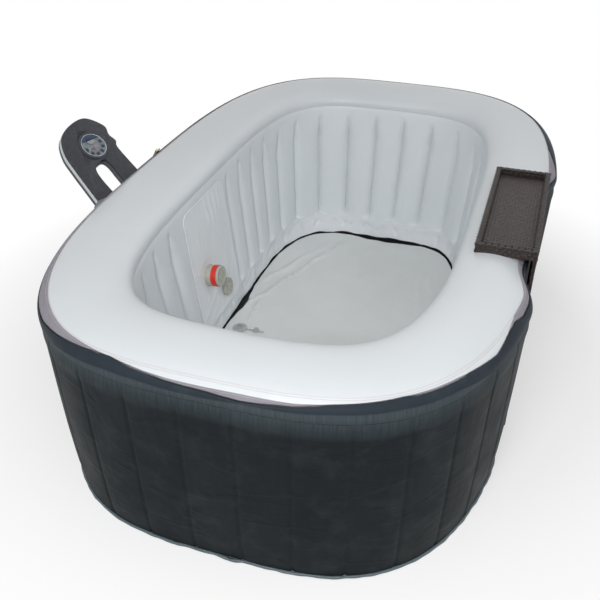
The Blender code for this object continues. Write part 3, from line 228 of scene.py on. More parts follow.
class TubSizes(bpy.types.PropertyGroup):
    """Sizes of the details that dress the tub."""
    rib_depth: length_of("Rib depth", 0.023, "How deep the weld between two ribs lies")
    rib_fade: length_of("Rib end", 0.028, "Height over which a rib's end rounds off")
    rib_taper: length_of("Rib taper", 0.075, "Height over which the welds deepen below the rim")
    seam_depth: length_of("Seam depth", 0.003, "How deep the jacket's upright seams lie")
    gather_depth: length_of("Gather depth", 0.0012, "Height of the gathers under the band")
    gather_reach: length_of("Gather reach", 0.035, "How far down the gathers run")
    mat_fold: length_of("Mat fold", 0.009, "Height of the folds in the mat")
    stitch_length: length_of("Stitch length", 0.0030, "Length of one stitch")
    stitch_pitch: length_of("Stitch pitch", 0.0050, "From one stitch to the next")
    stitch_width: length_of("Stitch width", 0.0007, "Thickness of the thread")
    tooth_pitch: length_of("Tooth pitch", 0.0036, "From one zip tooth to the next")
    tooth_length: length_of("Tooth length", 0.0022, "Length of a zip tooth across the tape")
    deck_cell: length_of("Deck strand", 0.0078, "Width of a strand in the tray's deck")
    leg_cell: length_of("Leg strand", 0.0105, "Width of a strand in the tray's leg")
    strand_rise: length_of("Strand rise", 0.0018, "How high a strand stands over the one it crosses")
    vinyl_grain: FloatProperty(name="Vinyl grain", description="Fineness of the grain in the vinyl",
                               default=900, min=1)


class TubColours(bpy.types.PropertyGroup):
    """Colours of the tub's finishes."""
    # Painted light: the pale vinyl is one material, set darker on the rim and lighter on the ribs, skirt and
    # panel, painted against the shade that falls in the well
    rim: colour_of("Rim", (214, 219, 222), "Pale vinyl of the rim")
    weld: colour_of("Weld line", (198, 176, 182), "Lines of the weld along the rim")
    ribs: colour_of("Ribs", (221, 226, 229), "Vinyl of the ribbed wall")
    skirt: colour_of("Skirt", (226, 230, 233), "Loose strip under the ribs")
    panel: colour_of("Panel", (230, 234, 237), "Vinyl of the flat panel")
    mat: colour_of("Mat", (221, 224, 224), "Grey of the floor mat")
    # Painted shade: this black stands for the shadow under the mat's edge and in the zip's gap; the same
    # black is the real colour of the ground sheet, gasket, bubble ring and zip teeth
    black_and_shade: colour_of("Liner", (18, 20, 22), "Black floor under the mat")
    jacket: colour_of("Jacket", (18, 25, 29), "Imitation leather of the jacket")
    # Painted highlight and wear: the lighter colour of the leather's worn patches, which also paints the
    # light caught by the gathers under the band
    jacket_wear_and_sheen: colour_of("Jacket, rubbed", (88, 100, 106), "Where the gathers are rubbed lighter")
    band: colour_of("Band", (42, 50, 58), "Smooth band under the rim")
    tape: colour_of("Zip tape", (160, 156, 165), "Cloth of the zip tape")
    stitch: colour_of("Stitches", (200, 198, 204), "Thread on the zip tape")
    piping: colour_of("Piping", (88, 102, 108), "Cord cover at the jacket's hem")
    zip: colour_of("Zip metal", (190, 180, 150), "Slider and puller")
    beige: colour_of("Fittings", (186, 186, 176), "Moulded plastic of the fittings")
    red: colour_of("Red band", (222, 44, 26), "Band round the filter")
    arm: colour_of("Arm", (37, 39, 46), "Moulded shells of the arm")
    side: colour_of("Arm side", (208, 218, 219), "Pale band between the arm's shells")
    face: colour_of("Control face", (124, 132, 138), "Printed face of the control panel")
    label: colour_of("Face field", (34, 52, 86), "Plain dark field at the top of the face")
    button: colour_of("Buttons", (26, 44, 72), "Soft buttons")
    button_ring: colour_of("Button ring", (74, 92, 112), "Rubbed rim of each button")
    screen: colour_of("Screen", (150, 156, 152), "Display window")
    light: colour_of("Light", (225, 40, 34), "Indicator light")
    drain: colour_of("Drain", (182, 186, 188), "Moulded plastic of the drain and its plug")
    wicker: colour_of("Wicker", (36, 27, 25), "Dark brown strands of the tray")
    wicker_worn: colour_of("Wicker, rubbed", (82, 66, 58), "Where the strands are rubbed lighter")
    floor: colour_of("Ground", (250, 250, 250), "Plain pale floor of the scene")


def sizes():
    return bpy.context.scene.tub_sizes


def colours():
    return bpy.context.scene.tub_colours


# Outlines

def oval(width, length, roundness, count):
    """Evenly spaced points of a rounded oval, from +X towards +Y."""
    turn = np.linspace(0, 2 * math.pi, 6001)
    c, s = np.cos(turn), np.sin(turn)
    x = width / 2 * np.sign(c) * np.abs(c) ** (2 / roundness)
    y = length / 2 * np.sign(s) * np.abs(s) ** (2 / roundness)
    run = np.concatenate([[0.0], np.cumsum(np.hypot(np.diff(x), np.diff(y)))])
    at = np.linspace(0, run[-1], count, endpoint=False)
    return np.stack([np.interp(at, run, x), np.interp(at, run, y)], 1)


def rise(value):
    """A smooth step from 0 to 1."""
    value = np.clip(value, 0, 1)
    return value * value * (3 - 2 * value)


def outer_oval(inset, count):
    """The tub's outer outline, drawn in by an inset and pressed in at the tray."""
    points = oval(tub_width - 2 * inset, tub_length - 2 * inset, plan_roundness, count)
    along = oval(tub_width, tub_length, plan_roundness, count)[:, 1]
    press = rise((along - waist_low_y) / waist_ramp) * rise((waist_high_y - along) / waist_ramp)
    points[:, 0] -= np.where(points[:, 0] > 0, waist_depth * press, 0)
    return points


def inner_oval(height, count, grow=0.0):
    """The opening's outline at a height: it widens evenly from the floor to the rim."""
    share = height / rim_centre_height
    width = floor_width + (rim_opening_width - floor_width) * share
    length = floor_length + (rim_opening_length - floor_length) * share
    roundness = floor_roundness + (rim_opening_roundness - floor_roundness) * share
    return oval(width + 2 * grow, length + 2 * grow, roundness, count)


def level(points, height):
    """Plan points at a height, or each at its own."""
    return np.column_stack([points, np.broadcast_to(height, len(points))])


def outward(points):
    """Unit normals of a closed plan outline, pointing out."""
    along = np.roll(points, -1, axis=0) - np.roll(points, 1, axis=0)
    normal = np.stack([along[:, 1], -along[:, 0]], 1)
    return normal / np.linalg.norm(normal, axis=1)[:, None]


def pushed(plan, push, height):
    """Plan points pushed out along their normals, at a height."""
    return level(plan + outward(plan) * push[:, None], height)


def beside(x, y, start, end):
    """How far along a line places lie, how far beside it, and how long the line is."""
    start, along = np.array(start), np.array(end) - np.array(start)
    length = np.linalg.norm(along)
    along = along / length
    run = (x - start[0]) * along[0] + (y - start[1]) * along[1]
    away = (x - start[0]) * -along[1] + (y - start[1]) * along[0]
    return run, away, length


def rim_row(angle, grow, count):
    """One line along the rim's section, at one angle or at an angle for each point."""
    outer = outer_oval(band_reach, count)
    inner = oval(rim_opening_width, rim_opening_length, rim_opening_roundness, count)
    half = (outer - inner) / 2
    reach = np.linalg.norm(half, axis=1)
    angle = np.radians(np.broadcast_to(angle, count))
    grow = np.broadcast_to(grow, count)
    c, s = np.cos(angle), np.sin(angle)
    across = np.sign(c) * np.abs(c) ** (2 / rim_roundness)
    upward = np.sign(s) * np.abs(s) ** (2 / rim_roundness)
    plan = (outer + inner) / 2 + half / reach[:, None] * ((reach + grow) * across)[:, None]
    return level(plan, rim_centre_height + (rim_half_height + grow) * upward)


def ripple(turn, seed, low, high, parts=7):
    """A wave that closes on itself: several sine waves of whole turns, with fixed phases."""
    pick = np.random.RandomState(seed)
    total = np.zeros_like(turn)
    for _ in range(parts):
        total = total + np.sin(turn * pick.randint(low, high + 1) + pick.uniform(0, 2 * math.pi))
    return total / math.sqrt(parts)


def turns(count):
    return np.linspace(0, 2 * math.pi, count, endpoint=False)


def around(turn, middle, reach):
    """1 at a place round the ring and 0 past its reach, both as shares of a whole turn."""
    share = np.abs((turn / (2 * math.pi) - middle + 0.5) % 1 - 0.5)
    return rise(1 - share / reach)


# Meshes

def in_scene(name, data):
    """A new object of that name in the scene."""
    obj = bpy.data.objects.new(name, data)
    bpy.context.scene.collection.objects.link(obj)
    return obj


def mesh_piece(name, points, faces, look, uv=None, sharp=40):
    """A smooth shaded piece from points, faces and the place of each face corner on the sheet."""
    mesh = bpy.data.meshes.new(name)
    mesh.from_pydata(np.asarray(points, float).tolist(), [], [tuple(map(int, face)) for face in faces])
    if uv is not None:
        mesh.uv_layers.new(name="sheet").data.foreach_set("uv", np.asarray(uv, float).ravel())
    shape = bmesh.new()
    shape.from_mesh(mesh)
    bmesh.ops.recalc_face_normals(shape, faces=shape.faces)
    shape.to_mesh(mesh)
    shape.free()
    mesh.shade_smooth()
    mesh.set_sharp_from_angle(angle=math.radians(sharp))
    mesh.materials.append(look)
    return in_scene(name, mesh)


def loft(name, rows, look, closed=True, sharp=40):
    """Joins closed rows of points into a body. Its UV map is in metres, round the rows and across them."""
    rows = np.array(rows, float)
    many, count = rows.shape[:2]
    spans = many if closed else many - 1
    here = (np.arange(spans) * count)[:, None]
    there = ((np.arange(spans) + 1) % many * count)[:, None]
    step = np.arange(count)[None, :]
    after = (step + 1) % count
    faces = np.stack([here + step, here + after, there + after, there + step], -1).reshape(-1, 4).tolist()
    ring = np.linalg.norm(np.roll(rows, -1, axis=1) - rows, axis=2).max(axis=0)
    along = np.concatenate([[0.0], np.cumsum(ring)])
    side = np.linalg.norm(np.roll(rows, -1, axis=0) - rows, axis=2).mean(axis=1)
    down = np.concatenate([[0.0], np.cumsum(side)])
    u = np.broadcast_to(along[None, :], (spans, count + 1))
    v = down[:spans + 1]
    low, high = np.broadcast_to(v[:-1, None], (spans, count)), np.broadcast_to(v[1:, None], (spans, count))
    uv = np.stack([np.stack([u[:, :-1], low], -1), np.stack([u[:, 1:], low], -1),
                   np.stack([u[:, 1:], high], -1), np.stack([u[:, :-1], high], -1)], 2).reshape(-1, 2)
    if not closed:
        faces.append(list(range(count - 1, -1, -1)))
        faces.append(list(range((many - 1) * count, many * count)))
        uv = np.concatenate([uv, rows[0][::-1, :2], rows[-1][:, :2]])
    return mesh_piece(name, rows.reshape(-1, 3), faces, look, uv, sharp)


def circle(radius, height, sides):
    angle = np.linspace(0, 2 * math.pi, sides, endpoint=False)
    return np.stack([radius * np.cos(angle), radius * np.sin(angle), np.full(sides, height)], 1)


def rounded(profile, radius=0.0006, steps=3):
    """A profile whose corners are rounded off by a small radius."""
    profile = np.array(profile, float)
    made = []
    for index, point in enumerate(profile):
        before, after = profile[index - 1], profile[(index + 1) % len(profile)]
        first, last = before - point, after - point
        reach = min(radius, 0.4 * np.linalg.norm(first), 0.4 * np.linalg.norm(last))
        start = point + first / max(np.linalg.norm(first), 1e-9) * reach
        end = point + last / max(np.linalg.norm(last), 1e-9) * reach
        for step in range(steps + 1):
            t = step / steps
            made.append((1 - t) ** 2 * start + 2 * t * (1 - t) * point + t * t * end)
    return np.array(made)


def turned(name, profile, place, look, sides=48, bored=False, round_off=0.0006):
    """A turned piece from radii and heights. A solid one's profile begins and ends on its flat ends."""
    if bored:
        profile = rounded(profile, round_off)
    elif round_off:
        middle = rounded(profile, round_off)[2:-2]
        profile = np.concatenate([[profile[0]], middle[2:-2], [profile[-1]]])
    rows = [circle(radius, height, sides) for radius, height in profile]
    obj = loft(name, rows, look, closed=bored, sharp=30)
    obj.data.transform(place)
    return obj


def box(name, low, high, look=None):
    low, high = np.minimum(low, high), np.maximum(low, high)
    bottom = np.array([(low[0], low[1], low[2]), (high[0], low[1], low[2]),
                       (high[0], high[1], low[2]), (low[0], high[1], low[2])])
    top = bottom.copy()
    top[:, 2] = high[2]
    return loft(name, [bottom, top], look, closed=False)


def frame_at(point, axis, across):
    """A frame whose Z is the axis and whose X is the direction across it."""
    z = Vector(axis).normalized()
    x = Vector(across)
    x = (x - z * x.dot(z)).normalized()
    turn = Matrix((x, z.cross(x), z)).transposed().to_4x4()
    return Matrix.Translation(Vector(point)) @ turn


def settle(obj):
    """Turns an object with its modifiers into a plain mesh that holds its own place."""
    bpy.context.view_layer.update()
    graph = bpy.context.evaluated_depsgraph_get()
    plain = bpy.data.meshes.new_from_object(obj.evaluated_get(graph))
    obj.modifiers.clear()
    obj.data = plain
    return obj


def cut(obj, tools):
    """Cuts the tools from a piece and removes them."""
    for tool in tools:
        change = obj.modifiers.new("cut", "BOOLEAN")
        change.operation = "DIFFERENCE"
        change.solver = "EXACT"
        change.object = tool
    settle(obj)
    for tool in tools:
        bpy.data.objects.remove(tool)
    return obj


def dress(obj, body, slot, *nodes):
    """Hangs a piece on its body and lets it stand for solids of the frame. Its slot, a finish's name, is not
    used.
    """
    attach(obj, body)
    if nodes:
        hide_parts(*nodes)
    return obj


# Finishes

def node(tree, kind, values=None, **settings):
    """Adds a shader node, and sets or links its inputs."""
    made = tree.nodes.new(kind)
    for name, value in settings.items():
        setattr(made, name, value)
    for socket, value in (values or {}).items():
        if isinstance(value, bpy.types.NodeSocket):
            tree.links.new(value, made.inputs[socket])
        else:
            made.inputs[socket].default_value = value
    return made


def maths(tree, operation, first, second=0.0):
    return node(tree, "ShaderNodeMath", {0: first, 1: second}, operation=operation).outputs[0]


def span(tree, value, low, high, start=0.0, end=1.0):
    """Maps a value from one span to another, and holds it there."""
    made = node(tree, "ShaderNodeMapRange", {"Value": value, "From Min": low, "From Max": high,
                                             "To Min": start, "To Max": end})
    return made.outputs["Result"]


def place_on(tree, on_sheet, stretch):
    """Where a point lies on the piece, or on its sheet, stretched for patterns."""
    source = node(tree, "ShaderNodeTexCoord").outputs["UV" if on_sheet else "Object"]
    return node(tree, "ShaderNodeMapping", {"Vector": source, "Scale": stretch}).outputs["Vector"]


def noise(tree, place, scale, detail=3.0, roughness=0.55, distortion=0.0):
    values = {"Vector": place, "Scale": scale, "Detail": detail, "Roughness": roughness,
              "Distortion": distortion}
    return node(tree, "ShaderNodeTexNoise", values).outputs["Fac"]


def shader_of(look):
    return look.node_tree.nodes["Principled BSDF"]


def raise_by(look, height, distance, strength=1.0):
    """Adds a relief on top of those that a finish has."""
    tree, shader = look.node_tree, shader_of(look)
    made = node(tree, "ShaderNodeBump", {"Height": height, "Distance": distance, "Strength": strength})
    if shader.inputs["Normal"].is_linked:
        tree.links.new(shader.inputs["Normal"].links[0].from_socket, made.inputs["Normal"])
    tree.links.new(made.outputs["Normal"], shader.inputs["Normal"])


def tinge(look, share, colour):
    """Mixes a colour into a finish by a share."""
    tree, shader = look.node_tree, shader_of(look)
    base = shader.inputs["Base Color"]
    mixed = node(tree, "ShaderNodeMix", {0: share, 7: (*colour, 1)}, data_type="RGBA")
    if base.is_linked:
        tree.links.new(base.links[0].from_socket, mixed.inputs[6])
    else:
        mixed.inputs[6].default_value = base.default_value
    tree.links.new(mixed.outputs[2], base)


def finish_of(name, colour, roughness, metallic=0.0, on_sheet=False, stretch=(1, 1, 1), cloud=5.0, vary=0.07,
              grain=900.0, relief=0.00015, shine=0.05, **sockets):
    """A finish with clouded colour, uneven gloss and a fine grain."""
    look = bpy.data.materials.new(name)
    look.use_nodes = True
    tree, shader = look.node_tree, shader_of(look)
    shader.inputs["Base Color"].default_value = (*colour, 1)
    shader.inputs["Metallic"].default_value = metallic
    for socket, value in sockets.items():
        shader.inputs[socket.replace("_", " ")].default_value = value
    place = place_on(tree, on_sheet, stretch)
    clouds = noise(tree, place, cloud, 4.0, 0.6)
    tinge(look, span(tree, clouds, 0.35, 0.7, 0.0, 1.0), [c * (1 - vary) for c in colour])
    fine = noise(tree, place, grain, 2.0, 0.5)
    patches = noise(tree, place, cloud * 3.1, 3.0, 0.6)
    gloss = span(tree, patches, 0.3, 0.7, roughness - shine, roughness + shine)
    tree.links.new(gloss, shader.inputs["Roughness"])
    raise_by(look, fine, relief)
    return look


def line_at(tree, value, place, half):
    """1 on a line where a value has its place, 0 beside it."""
    away = maths(tree, "ABSOLUTE", maths(tree, "SUBTRACT", value, place))
    return span(tree, away, 0.0, half, 1.0, 0.0)


def sheet_axes(tree):
    source = node(tree, "ShaderNodeTexCoord").outputs["UV"]
    parts = node(tree, "ShaderNodeSeparateXYZ", {0: source})
    return parts.outputs["X"], parts.outputs["Y"]


def leather(name, colour, worn, lightening, grain=520.0):
    """Imitation leather: pebbled grain, soft sheen and worn high places in lighter patches."""
    look = finish_of(name, colour, 0.58, cloud=3.0, vary=0.16, grain=grain * 2, relief=0.0002, shine=0.07,
                     Specular_IOR_Level=0.12)
    tree = look.node_tree
    place = place_on(tree, False, (1, 1, 1))
    pebble = node(tree, "ShaderNodeTexVoronoi", {"Vector": place, "Scale": grain}, feature="F1")
    raise_by(look, pebble.outputs["Distance"], 0.0004, 0.6)
    patchy = noise(tree, place, 14.0, 5.0, 0.65)
    tinge(look, span(tree, patchy, 0.5, 0.85, 0.0, lightening), worn)
    return look


def bumps(look, distance, strength, *sizes_of_noise, stretch=(1, 1, 1), on_sheet=False, counts=None):
    """A relief of noise, of which only the values that count may rise."""
    tree = look.node_tree
    height = noise(tree, place_on(tree, on_sheet, stretch), *sizes_of_noise)
    raise_by(look, span(tree, height, *counts) if counts else height, distance, strength)


def spots(look, colour, most, counts, *sizes_of_noise, stretch=(1, 1, 1)):
    """Tinges a finish with a colour where a noise is high."""
    tree = look.node_tree
    value = noise(tree, place_on(tree, False, stretch), *sizes_of_noise)
    tinge(look, span(tree, value, *counts, 0.0, most), colour)


def times(colour, share):
    return [min(1, x * share) for x in colour]


def vinyl(name, colour, roughness, cloud, vary, relief=0.00008, **more):
    """Soft vinyl with the grain that the sizes give."""
    return finish_of(name, colour, roughness, cloud=cloud, vary=vary, grain=sizes().vinyl_grain,
                     relief=relief, **more)


def moulded(name, colour, roughness=0.5, vary=0.14):
    """Dull moulded plastic with a fine spark texture and faint scuffs."""
    look = finish_of(name, colour, roughness, cloud=24.0, vary=vary, grain=1400.0, relief=0.00018,
                     shine=0.08)
    spots(look, [min(1, x * 1.7 + 0.01) for x in colour], 0.30, (0.58, 0.8), 120.0, 4.0, 0.7, 1.5,
          stretch=(1, 0.25, 1))
    return look


def brushed(name, colour, roughness):
    return finish_of(name, colour, roughness, 0.85, stretch=(1, 1, 14), cloud=30.0, vary=0.2, grain=500.0,
                     relief=0.00012, shine=0.08)


def rim_vinyl(name, c):
    look = vinyl(name, c.rim, 0.38, 2.2, 0.035, on_sheet=True, Coat_Weight=0.1, Coat_Roughness=0.35)
    tree = look.node_tree
    _, across = sheet_axes(tree)
    for angle in weld_angles:
        line = line_at(tree, across, rim_reach(angle), 0.0014)
        raise_by(look, line, 0.0005)
        tinge(look, maths(tree, "MULTIPLY", line, 0.5), c.weld)
    bumps(look, 0.006, 0.5, 3.0, 2.0, 0.5, on_sheet=True)
    puckers = noise(tree, place_on(tree, True, (1.0, 0.35, 1)), 24.0, 3.0, 0.5)
    edge = span(tree, across, rim_reach(40), rim_reach(62), 1.0, 0.0)
    raise_by(look, maths(tree, "MULTIPLY", puckers, edge), 0.0035, 0.6)
    return look


def rib_vinyl(name, c):
    look = vinyl(name, c.ribs, 0.42, 3.0, 0.05)
    bumps(look, 0.0012, 0.6, 34.0, 4.0, 0.6, 0.6, stretch=(1, 1, 0.35), counts=(0.45, 0.75))
    return look


def skirt_vinyl(name, c):
    look = vinyl(name, c.skirt, 0.36, 3.0, 0.04, on_sheet=True)
    bumps(look, 0.003, 0.6, 15.0, 3.0, 0.5, 1.0, stretch=(1, 1.2, 1), on_sheet=True, counts=(0.4, 0.7))
    return look


def panel_vinyl(name, c):
    look = vinyl(name, c.panel, 0.4, 4.0, 0.05)
    bumps(look, 0.0022, 0.5, 16.0, 3.0, 0.55, 1.0, stretch=(1, 1, 0.5), counts=(0.5, 0.75))
    return look


def mat_vinyl(name, c):
    look = vinyl(name, c.mat, 0.52, 3.5, 0.08, 0.0001)
    tree = look.node_tree
    place = place_on(tree, False, (1, 1, 1))
    bumps(look, 0.006, 0.5, 7.0, 5.0, 0.6, 0.8)
    creases = node(tree, "ShaderNodeTexVoronoi", {"Vector": place, "Scale": 7.0}, feature="DISTANCE_TO_EDGE")
    thin = span(tree, creases.outputs["Distance"], 0.0, 0.015, 1.0, 0.0)
    some = span(tree, noise(tree, place, 5.0, 2.0), 0.5, 0.62)
    raise_by(look, maths(tree, "MULTIPLY", thin, some), 0.0008, 0.5)
    spots(look, times(c.mat, 0.9), 0.5, (0.5, 0.8), 2.2, 3.0, 0.5)
    return look


def wall_vinyl(name, c):
    look = finish_of(name, c.ribs, 0.5, cloud=4.0, vary=0.06, grain=700.0, relief=0.0001)
    tree = look.node_tree
    weave = node(tree, "ShaderNodeTexBrick", {"Vector": place_on(tree, False, (1, 1, 1)), "Scale": 180.0})
    raise_by(look, weave.outputs["Fac"], 0.0002, 0.4)
    return look


def gather_leather(name, c):
    """Imitation leather with fine upright gathers, painted lighter towards the band: a painted highlight
    where the gathers catch the light from above.
    """
    look = leather(name, c.jacket, c.jacket_wear_and_sheen, 0.14)
    tree = look.node_tree
    place = node(tree, "ShaderNodeTexCoord").outputs["Object"]
    height = node(tree, "ShaderNodeSeparateXYZ", {0: place}).outputs["Z"]
    streaks = noise(tree, place_on(tree, True, (1.0, 0.07, 1)), 150.0, 3.0, 0.6)
    raise_by(look, maths(tree, "MULTIPLY", streaks, span(tree, height, *gather_and_sheen_heights)), 0.0010, 0.45)
    # Painted highlight: the gathers' streaks are lightened towards the band, where they catch the light from
    # above
    lightening = maths(tree, "MULTIPLY", span(tree, streaks, 0.36, 0.66, 0.6, 1.0),
                   span(tree, height, *gather_and_sheen_heights, 0.0, 0.55))
    tinge(look, lightening, c.jacket_wear_and_sheen)
    return look


def jacket_leather(name, c):
    look = gather_leather(name, c)
    bumps(look, 0.007, 0.7, 9.0, 3.0, 0.5, 0.6, stretch=(1, 0.3, 1), on_sheet=True)
    bumps(look, 0.0014, 0.5, 22.0, 2.0, 0.5, 0.8, stretch=(0.35, 1, 1), on_sheet=True, counts=(0.52, 0.68))
    return look


def band_leather(name, c):
    look = leather(name, c.band, c.jacket_wear_and_sheen, 0.2)
    bumps(look, 0.0015, 0.5, 30.0, 3.0, 0.5, stretch=(1, 0.3, 1), on_sheet=True)
    return look


def tape_cloth(name, c):
    look = finish_of(name, c.tape, 0.8, on_sheet=True, cloud=12.0, vary=0.15, grain=1500.0, relief=0.0002)
    tree = look.node_tree
    warp, weft = (maths(tree, "SINE", maths(tree, "MULTIPLY", axis, 5200.0)) for axis in sheet_axes(tree))
    cloth = maths(tree, "MULTIPLY", warp, weft)
    raise_by(look, cloth, 0.00025)
    tinge(look, span(tree, cloth, -1.0, 0.2, 0.35, 0.0), times(c.tape, 0.6))
    return look


def piping_vinyl(name, c):
    look = finish_of(name, c.piping, 0.42, on_sheet=True, cloud=9.0, vary=0.25, grain=900.0, relief=0.0002)
    bumps(look, 0.0012, 0.7, 90.0, 2.0, 0.5, stretch=(1, 0.2, 1), on_sheet=True)
    return look


def beige_plastic(name, c):
    look = finish_of(name, c.beige, 0.42, cloud=40.0, vary=0.12, grain=1200.0, relief=0.0001)
    spots(look, times(c.beige, 0.5), 0.6, (0.54, 0.66), 240.0, 3.0)
    bumps(look, 0.0005, 0.6, 240.0, 3.0)
    return look


def drain_plastic(name, c):
    look = moulded(name, c.drain, 0.45, 0.12)
    spots(look, times(c.drain, 0.55), 0.45, (0.5, 0.66), 110.0, 4.0)
    return look


def dark_plastic(name, c):
    look = moulded(name, c.arm, 0.46, 0.3)
    spots(look, times(c.arm, 2.6), 0.6, (0.46, 0.70), 95.0, 5.0, 0.7, 0.8, stretch=(1, 1, 0.45))
    spots(look, times(c.arm, 0.45), 0.6, (0.52, 0.68), 60.0, 4.0, 0.7, stretch=(1, 1, 0.45))
    return look


def side_plastic(name, c):
    """The pale band between the arm's shells: it is dark inside the hand hole."""
    look = moulded(name, c.side, 0.38, 0.06)
    tree = look.node_tree
    middle = arm_frame() @ Vector((arm_left + arm_width * 0.48, arm_height * 0.2, -arm_front_thickness))
    place = node(tree, "ShaderNodeTexCoord").outputs["Object"]
    away = node(tree, "ShaderNodeVectorMath", {0: place, 1: middle}, operation="DISTANCE").outputs["Value"]
    tinge(look, span(tree, away, 0.071, 0.077, 1.0, 0.0), c.arm)
    return look


def face_plastic(name, c):
    look = moulded(name, c.face, 0.38, 0.08)
    _, up = sheet_axes(look.node_tree)
    tinge(look, span(look.node_tree, up, 0.0186, 0.0192), c.label)
    return look


def button_plastic(name, c):
    look = moulded(name, c.button, 0.35, 0.1)
    spots(look, c.button_ring, 0.55, (0.5, 0.62), 170.0, 2.0)
    return look


def screen_glass(name, c):
    look = finish_of(name, c.screen, 0.12, cloud=60.0, vary=0.06, relief=0.00003, shine=0.03,
                     Coat_Weight=0.6)
    _, up = sheet_axes(look.node_tree)
    tinge(look, span(look.node_tree, up, 0.002, 0.016, 0.35, 0.0), tint(96, 104, 102))
    return look


def light_red(name, c):
    return finish_of(name, c.light, 0.15, cloud=200.0, vary=0.2, relief=0.00003, shine=0.03, Coat_Weight=0.7,
                     Emission_Color=(*c.light, 1), Emission_Strength=0.35)


def board_green(name, c):
    look = finish_of(name, tint(22, 96, 52), 0.4, cloud=50.0, vary=0.15, relief=0.0001)
    tree = look.node_tree
    tracks = node(tree, "ShaderNodeTexBrick", {"Vector": place_on(tree, False, (1, 1, 1)), "Scale": 90.0,
                                               "Mortar Size": 0.03})
    tinge(look, span(tree, tracks.outputs["Fac"], 0.0, 1.0, 0.0, 0.6), tint(150, 170, 90))
    raise_by(look, tracks.outputs["Fac"], 0.0001)
    return look


def wicker_strand(name, c):
    look = finish_of(name, c.wicker, 0.5, cloud=60.0, vary=0.45, grain=700.0, relief=0.0003, shine=0.1)
    spots(look, c.wicker_worn, 0.65, (0.54, 0.70), 170.0, 3.0, 0.6)
    spots(look, tint(160, 138, 124), 0.4, (0.67, 0.73), 420.0, 2.0, 0.5)
    return look


layered = (
    rim_vinyl, rib_vinyl, skirt_vinyl, panel_vinyl, mat_vinyl, wall_vinyl, gather_leather,
    jacket_leather, band_leather, tape_cloth, piping_vinyl, beige_plastic, drain_plastic, dark_plastic,
    side_plastic, face_plastic, button_plastic, screen_glass, light_red, board_green, wicker_strand,
)
finish_makers = {make.__name__: make for make in layered}
finish_makers.update({
    "white_paper": lambda name, c: finish_of(name, tint(226, 224, 216), 0.9, cloud=80.0, vary=0.1,
                                             grain=1800.0, relief=0.0004),
    "grey_plastic": lambda name, c: moulded(name, tint(122, 126, 130)),
    "pipe_plastic": lambda name, c: moulded(name, tint(206, 206, 202), 0.4, 0.06),
    "motor_metal": lambda name, c: brushed(name, tint(150, 151, 154), 0.38),
    "heater_metal": lambda name, c: brushed(name, tint(186, 184, 178), 0.28),
})
# Plain finishes: the colour, how far it is lightened, the roughness and the other settings
plain_finishes = {
    # The black that stands for shade under the mat and in the zip's gap, and the real black of the ground
    # sheet, gasket and bubble ring
    "black_vinyl": ("black_and_shade", 1, 0.5, dict(cloud=6.0, vary=0.3, relief=0.0003, grain=300.0)),
    "thread": ("stitch", 1, 0.7, dict(cloud=60.0, vary=0.15, grain=2500.0, relief=0.0001)),
    "dark_thread": ("band", 1.6, 0.7, dict(cloud=60.0, vary=0.2, grain=2500.0, relief=0.0001)),
    "zip_metal": ("zip", 1, 0.34, dict(metallic=0.9, stretch=(1, 1, 6), cloud=90.0, vary=0.35,
                                       grain=1500.0, relief=0.0001, shine=0.1)),
    "zip_plastic": ("black_and_shade", 1.2, 0.4, dict(cloud=80.0, vary=0.2, relief=0.0001)),
    "red_plastic": ("red", 1, 0.35, dict(cloud=60.0, vary=0.14, grain=1500.0, relief=0.00008)),
}
finishes = {}


def finish(name):
    """The finish of that name, made when it is first asked for."""
    if name in plain_finishes and name not in finishes:
        colour, share, roughness, settings = plain_finishes[name]
        finishes[name] = finish_of(name, times(getattr(colours(), colour), share), roughness, **settings)
    if name not in finishes:
        finishes[name] = finish_makers[name](name, colours())
    return finishes[name]


# Geometry node trees

class Tree:
    """A short way to build a geometry node tree with named inputs."""

    def __init__(self, name, inputs):
        self.tree = bpy.data.node_groups.new(name, "GeometryNodeTree")
        face = self.tree.interface
        face.new_socket("Geometry", in_out="INPUT", socket_type="NodeSocketGeometry")
        face.new_socket("Geometry", in_out="OUTPUT", socket_type="NodeSocketGeometry")
        self.ids = {}
        for title, kind, default in inputs:
            socket = face.new_socket(title, in_out="INPUT", socket_type="NodeSocket" + kind)
            socket.default_value = default
            self.ids[title] = socket.identifier
        self.start = self.tree.nodes.new("NodeGroupInput")
        self.end = self.tree.nodes.new("NodeGroupOutput")

    def add(self, kind, values=None, **settings):
        return node(self.tree, kind, values, **settings)

    def given(self, title):
        return self.start.outputs[title]

    def run(self, kind, first, second=0.0):
        return self.add("ShaderNodeMath", {0: first, 1: second}, operation=kind).outputs[0]

    def close(self, shape, look):
        real = self.add("GeometryNodeRealizeInstances", {0: shape})
        painted = self.add("GeometryNodeSetMaterial", {"Geometry": real.outputs[0], "Material": look})
        self.tree.links.new(painted.outputs[0], self.end.inputs[0])
        return self

    def grow(self, name, mesh, values, look):
        """Runs the tree on a mesh and returns a plain piece."""
        obj = in_scene(name, mesh)
        change = obj.modifiers.new("make", "NODES")
        change.node_group = self.tree
        for title, value in values.items():
            change[self.ids[title]] = value
        settle(obj)
        obj.data.materials.clear()
        obj.data.materials.append(look)
        obj.data.shade_smooth()
        obj.data.set_sharp_from_angle(angle=math.radians(40))
        return obj


def line_mesh(points, closed=True):
    """A mesh of edges only, along a route."""
    mesh = bpy.data.meshes.new("route")
    count = len(points)
    edges = [(step, (step + 1) % count) for step in range(count if closed else count - 1)]
    mesh.from_pydata(np.asarray(points, float).tolist(), edges, [])
    return mesh


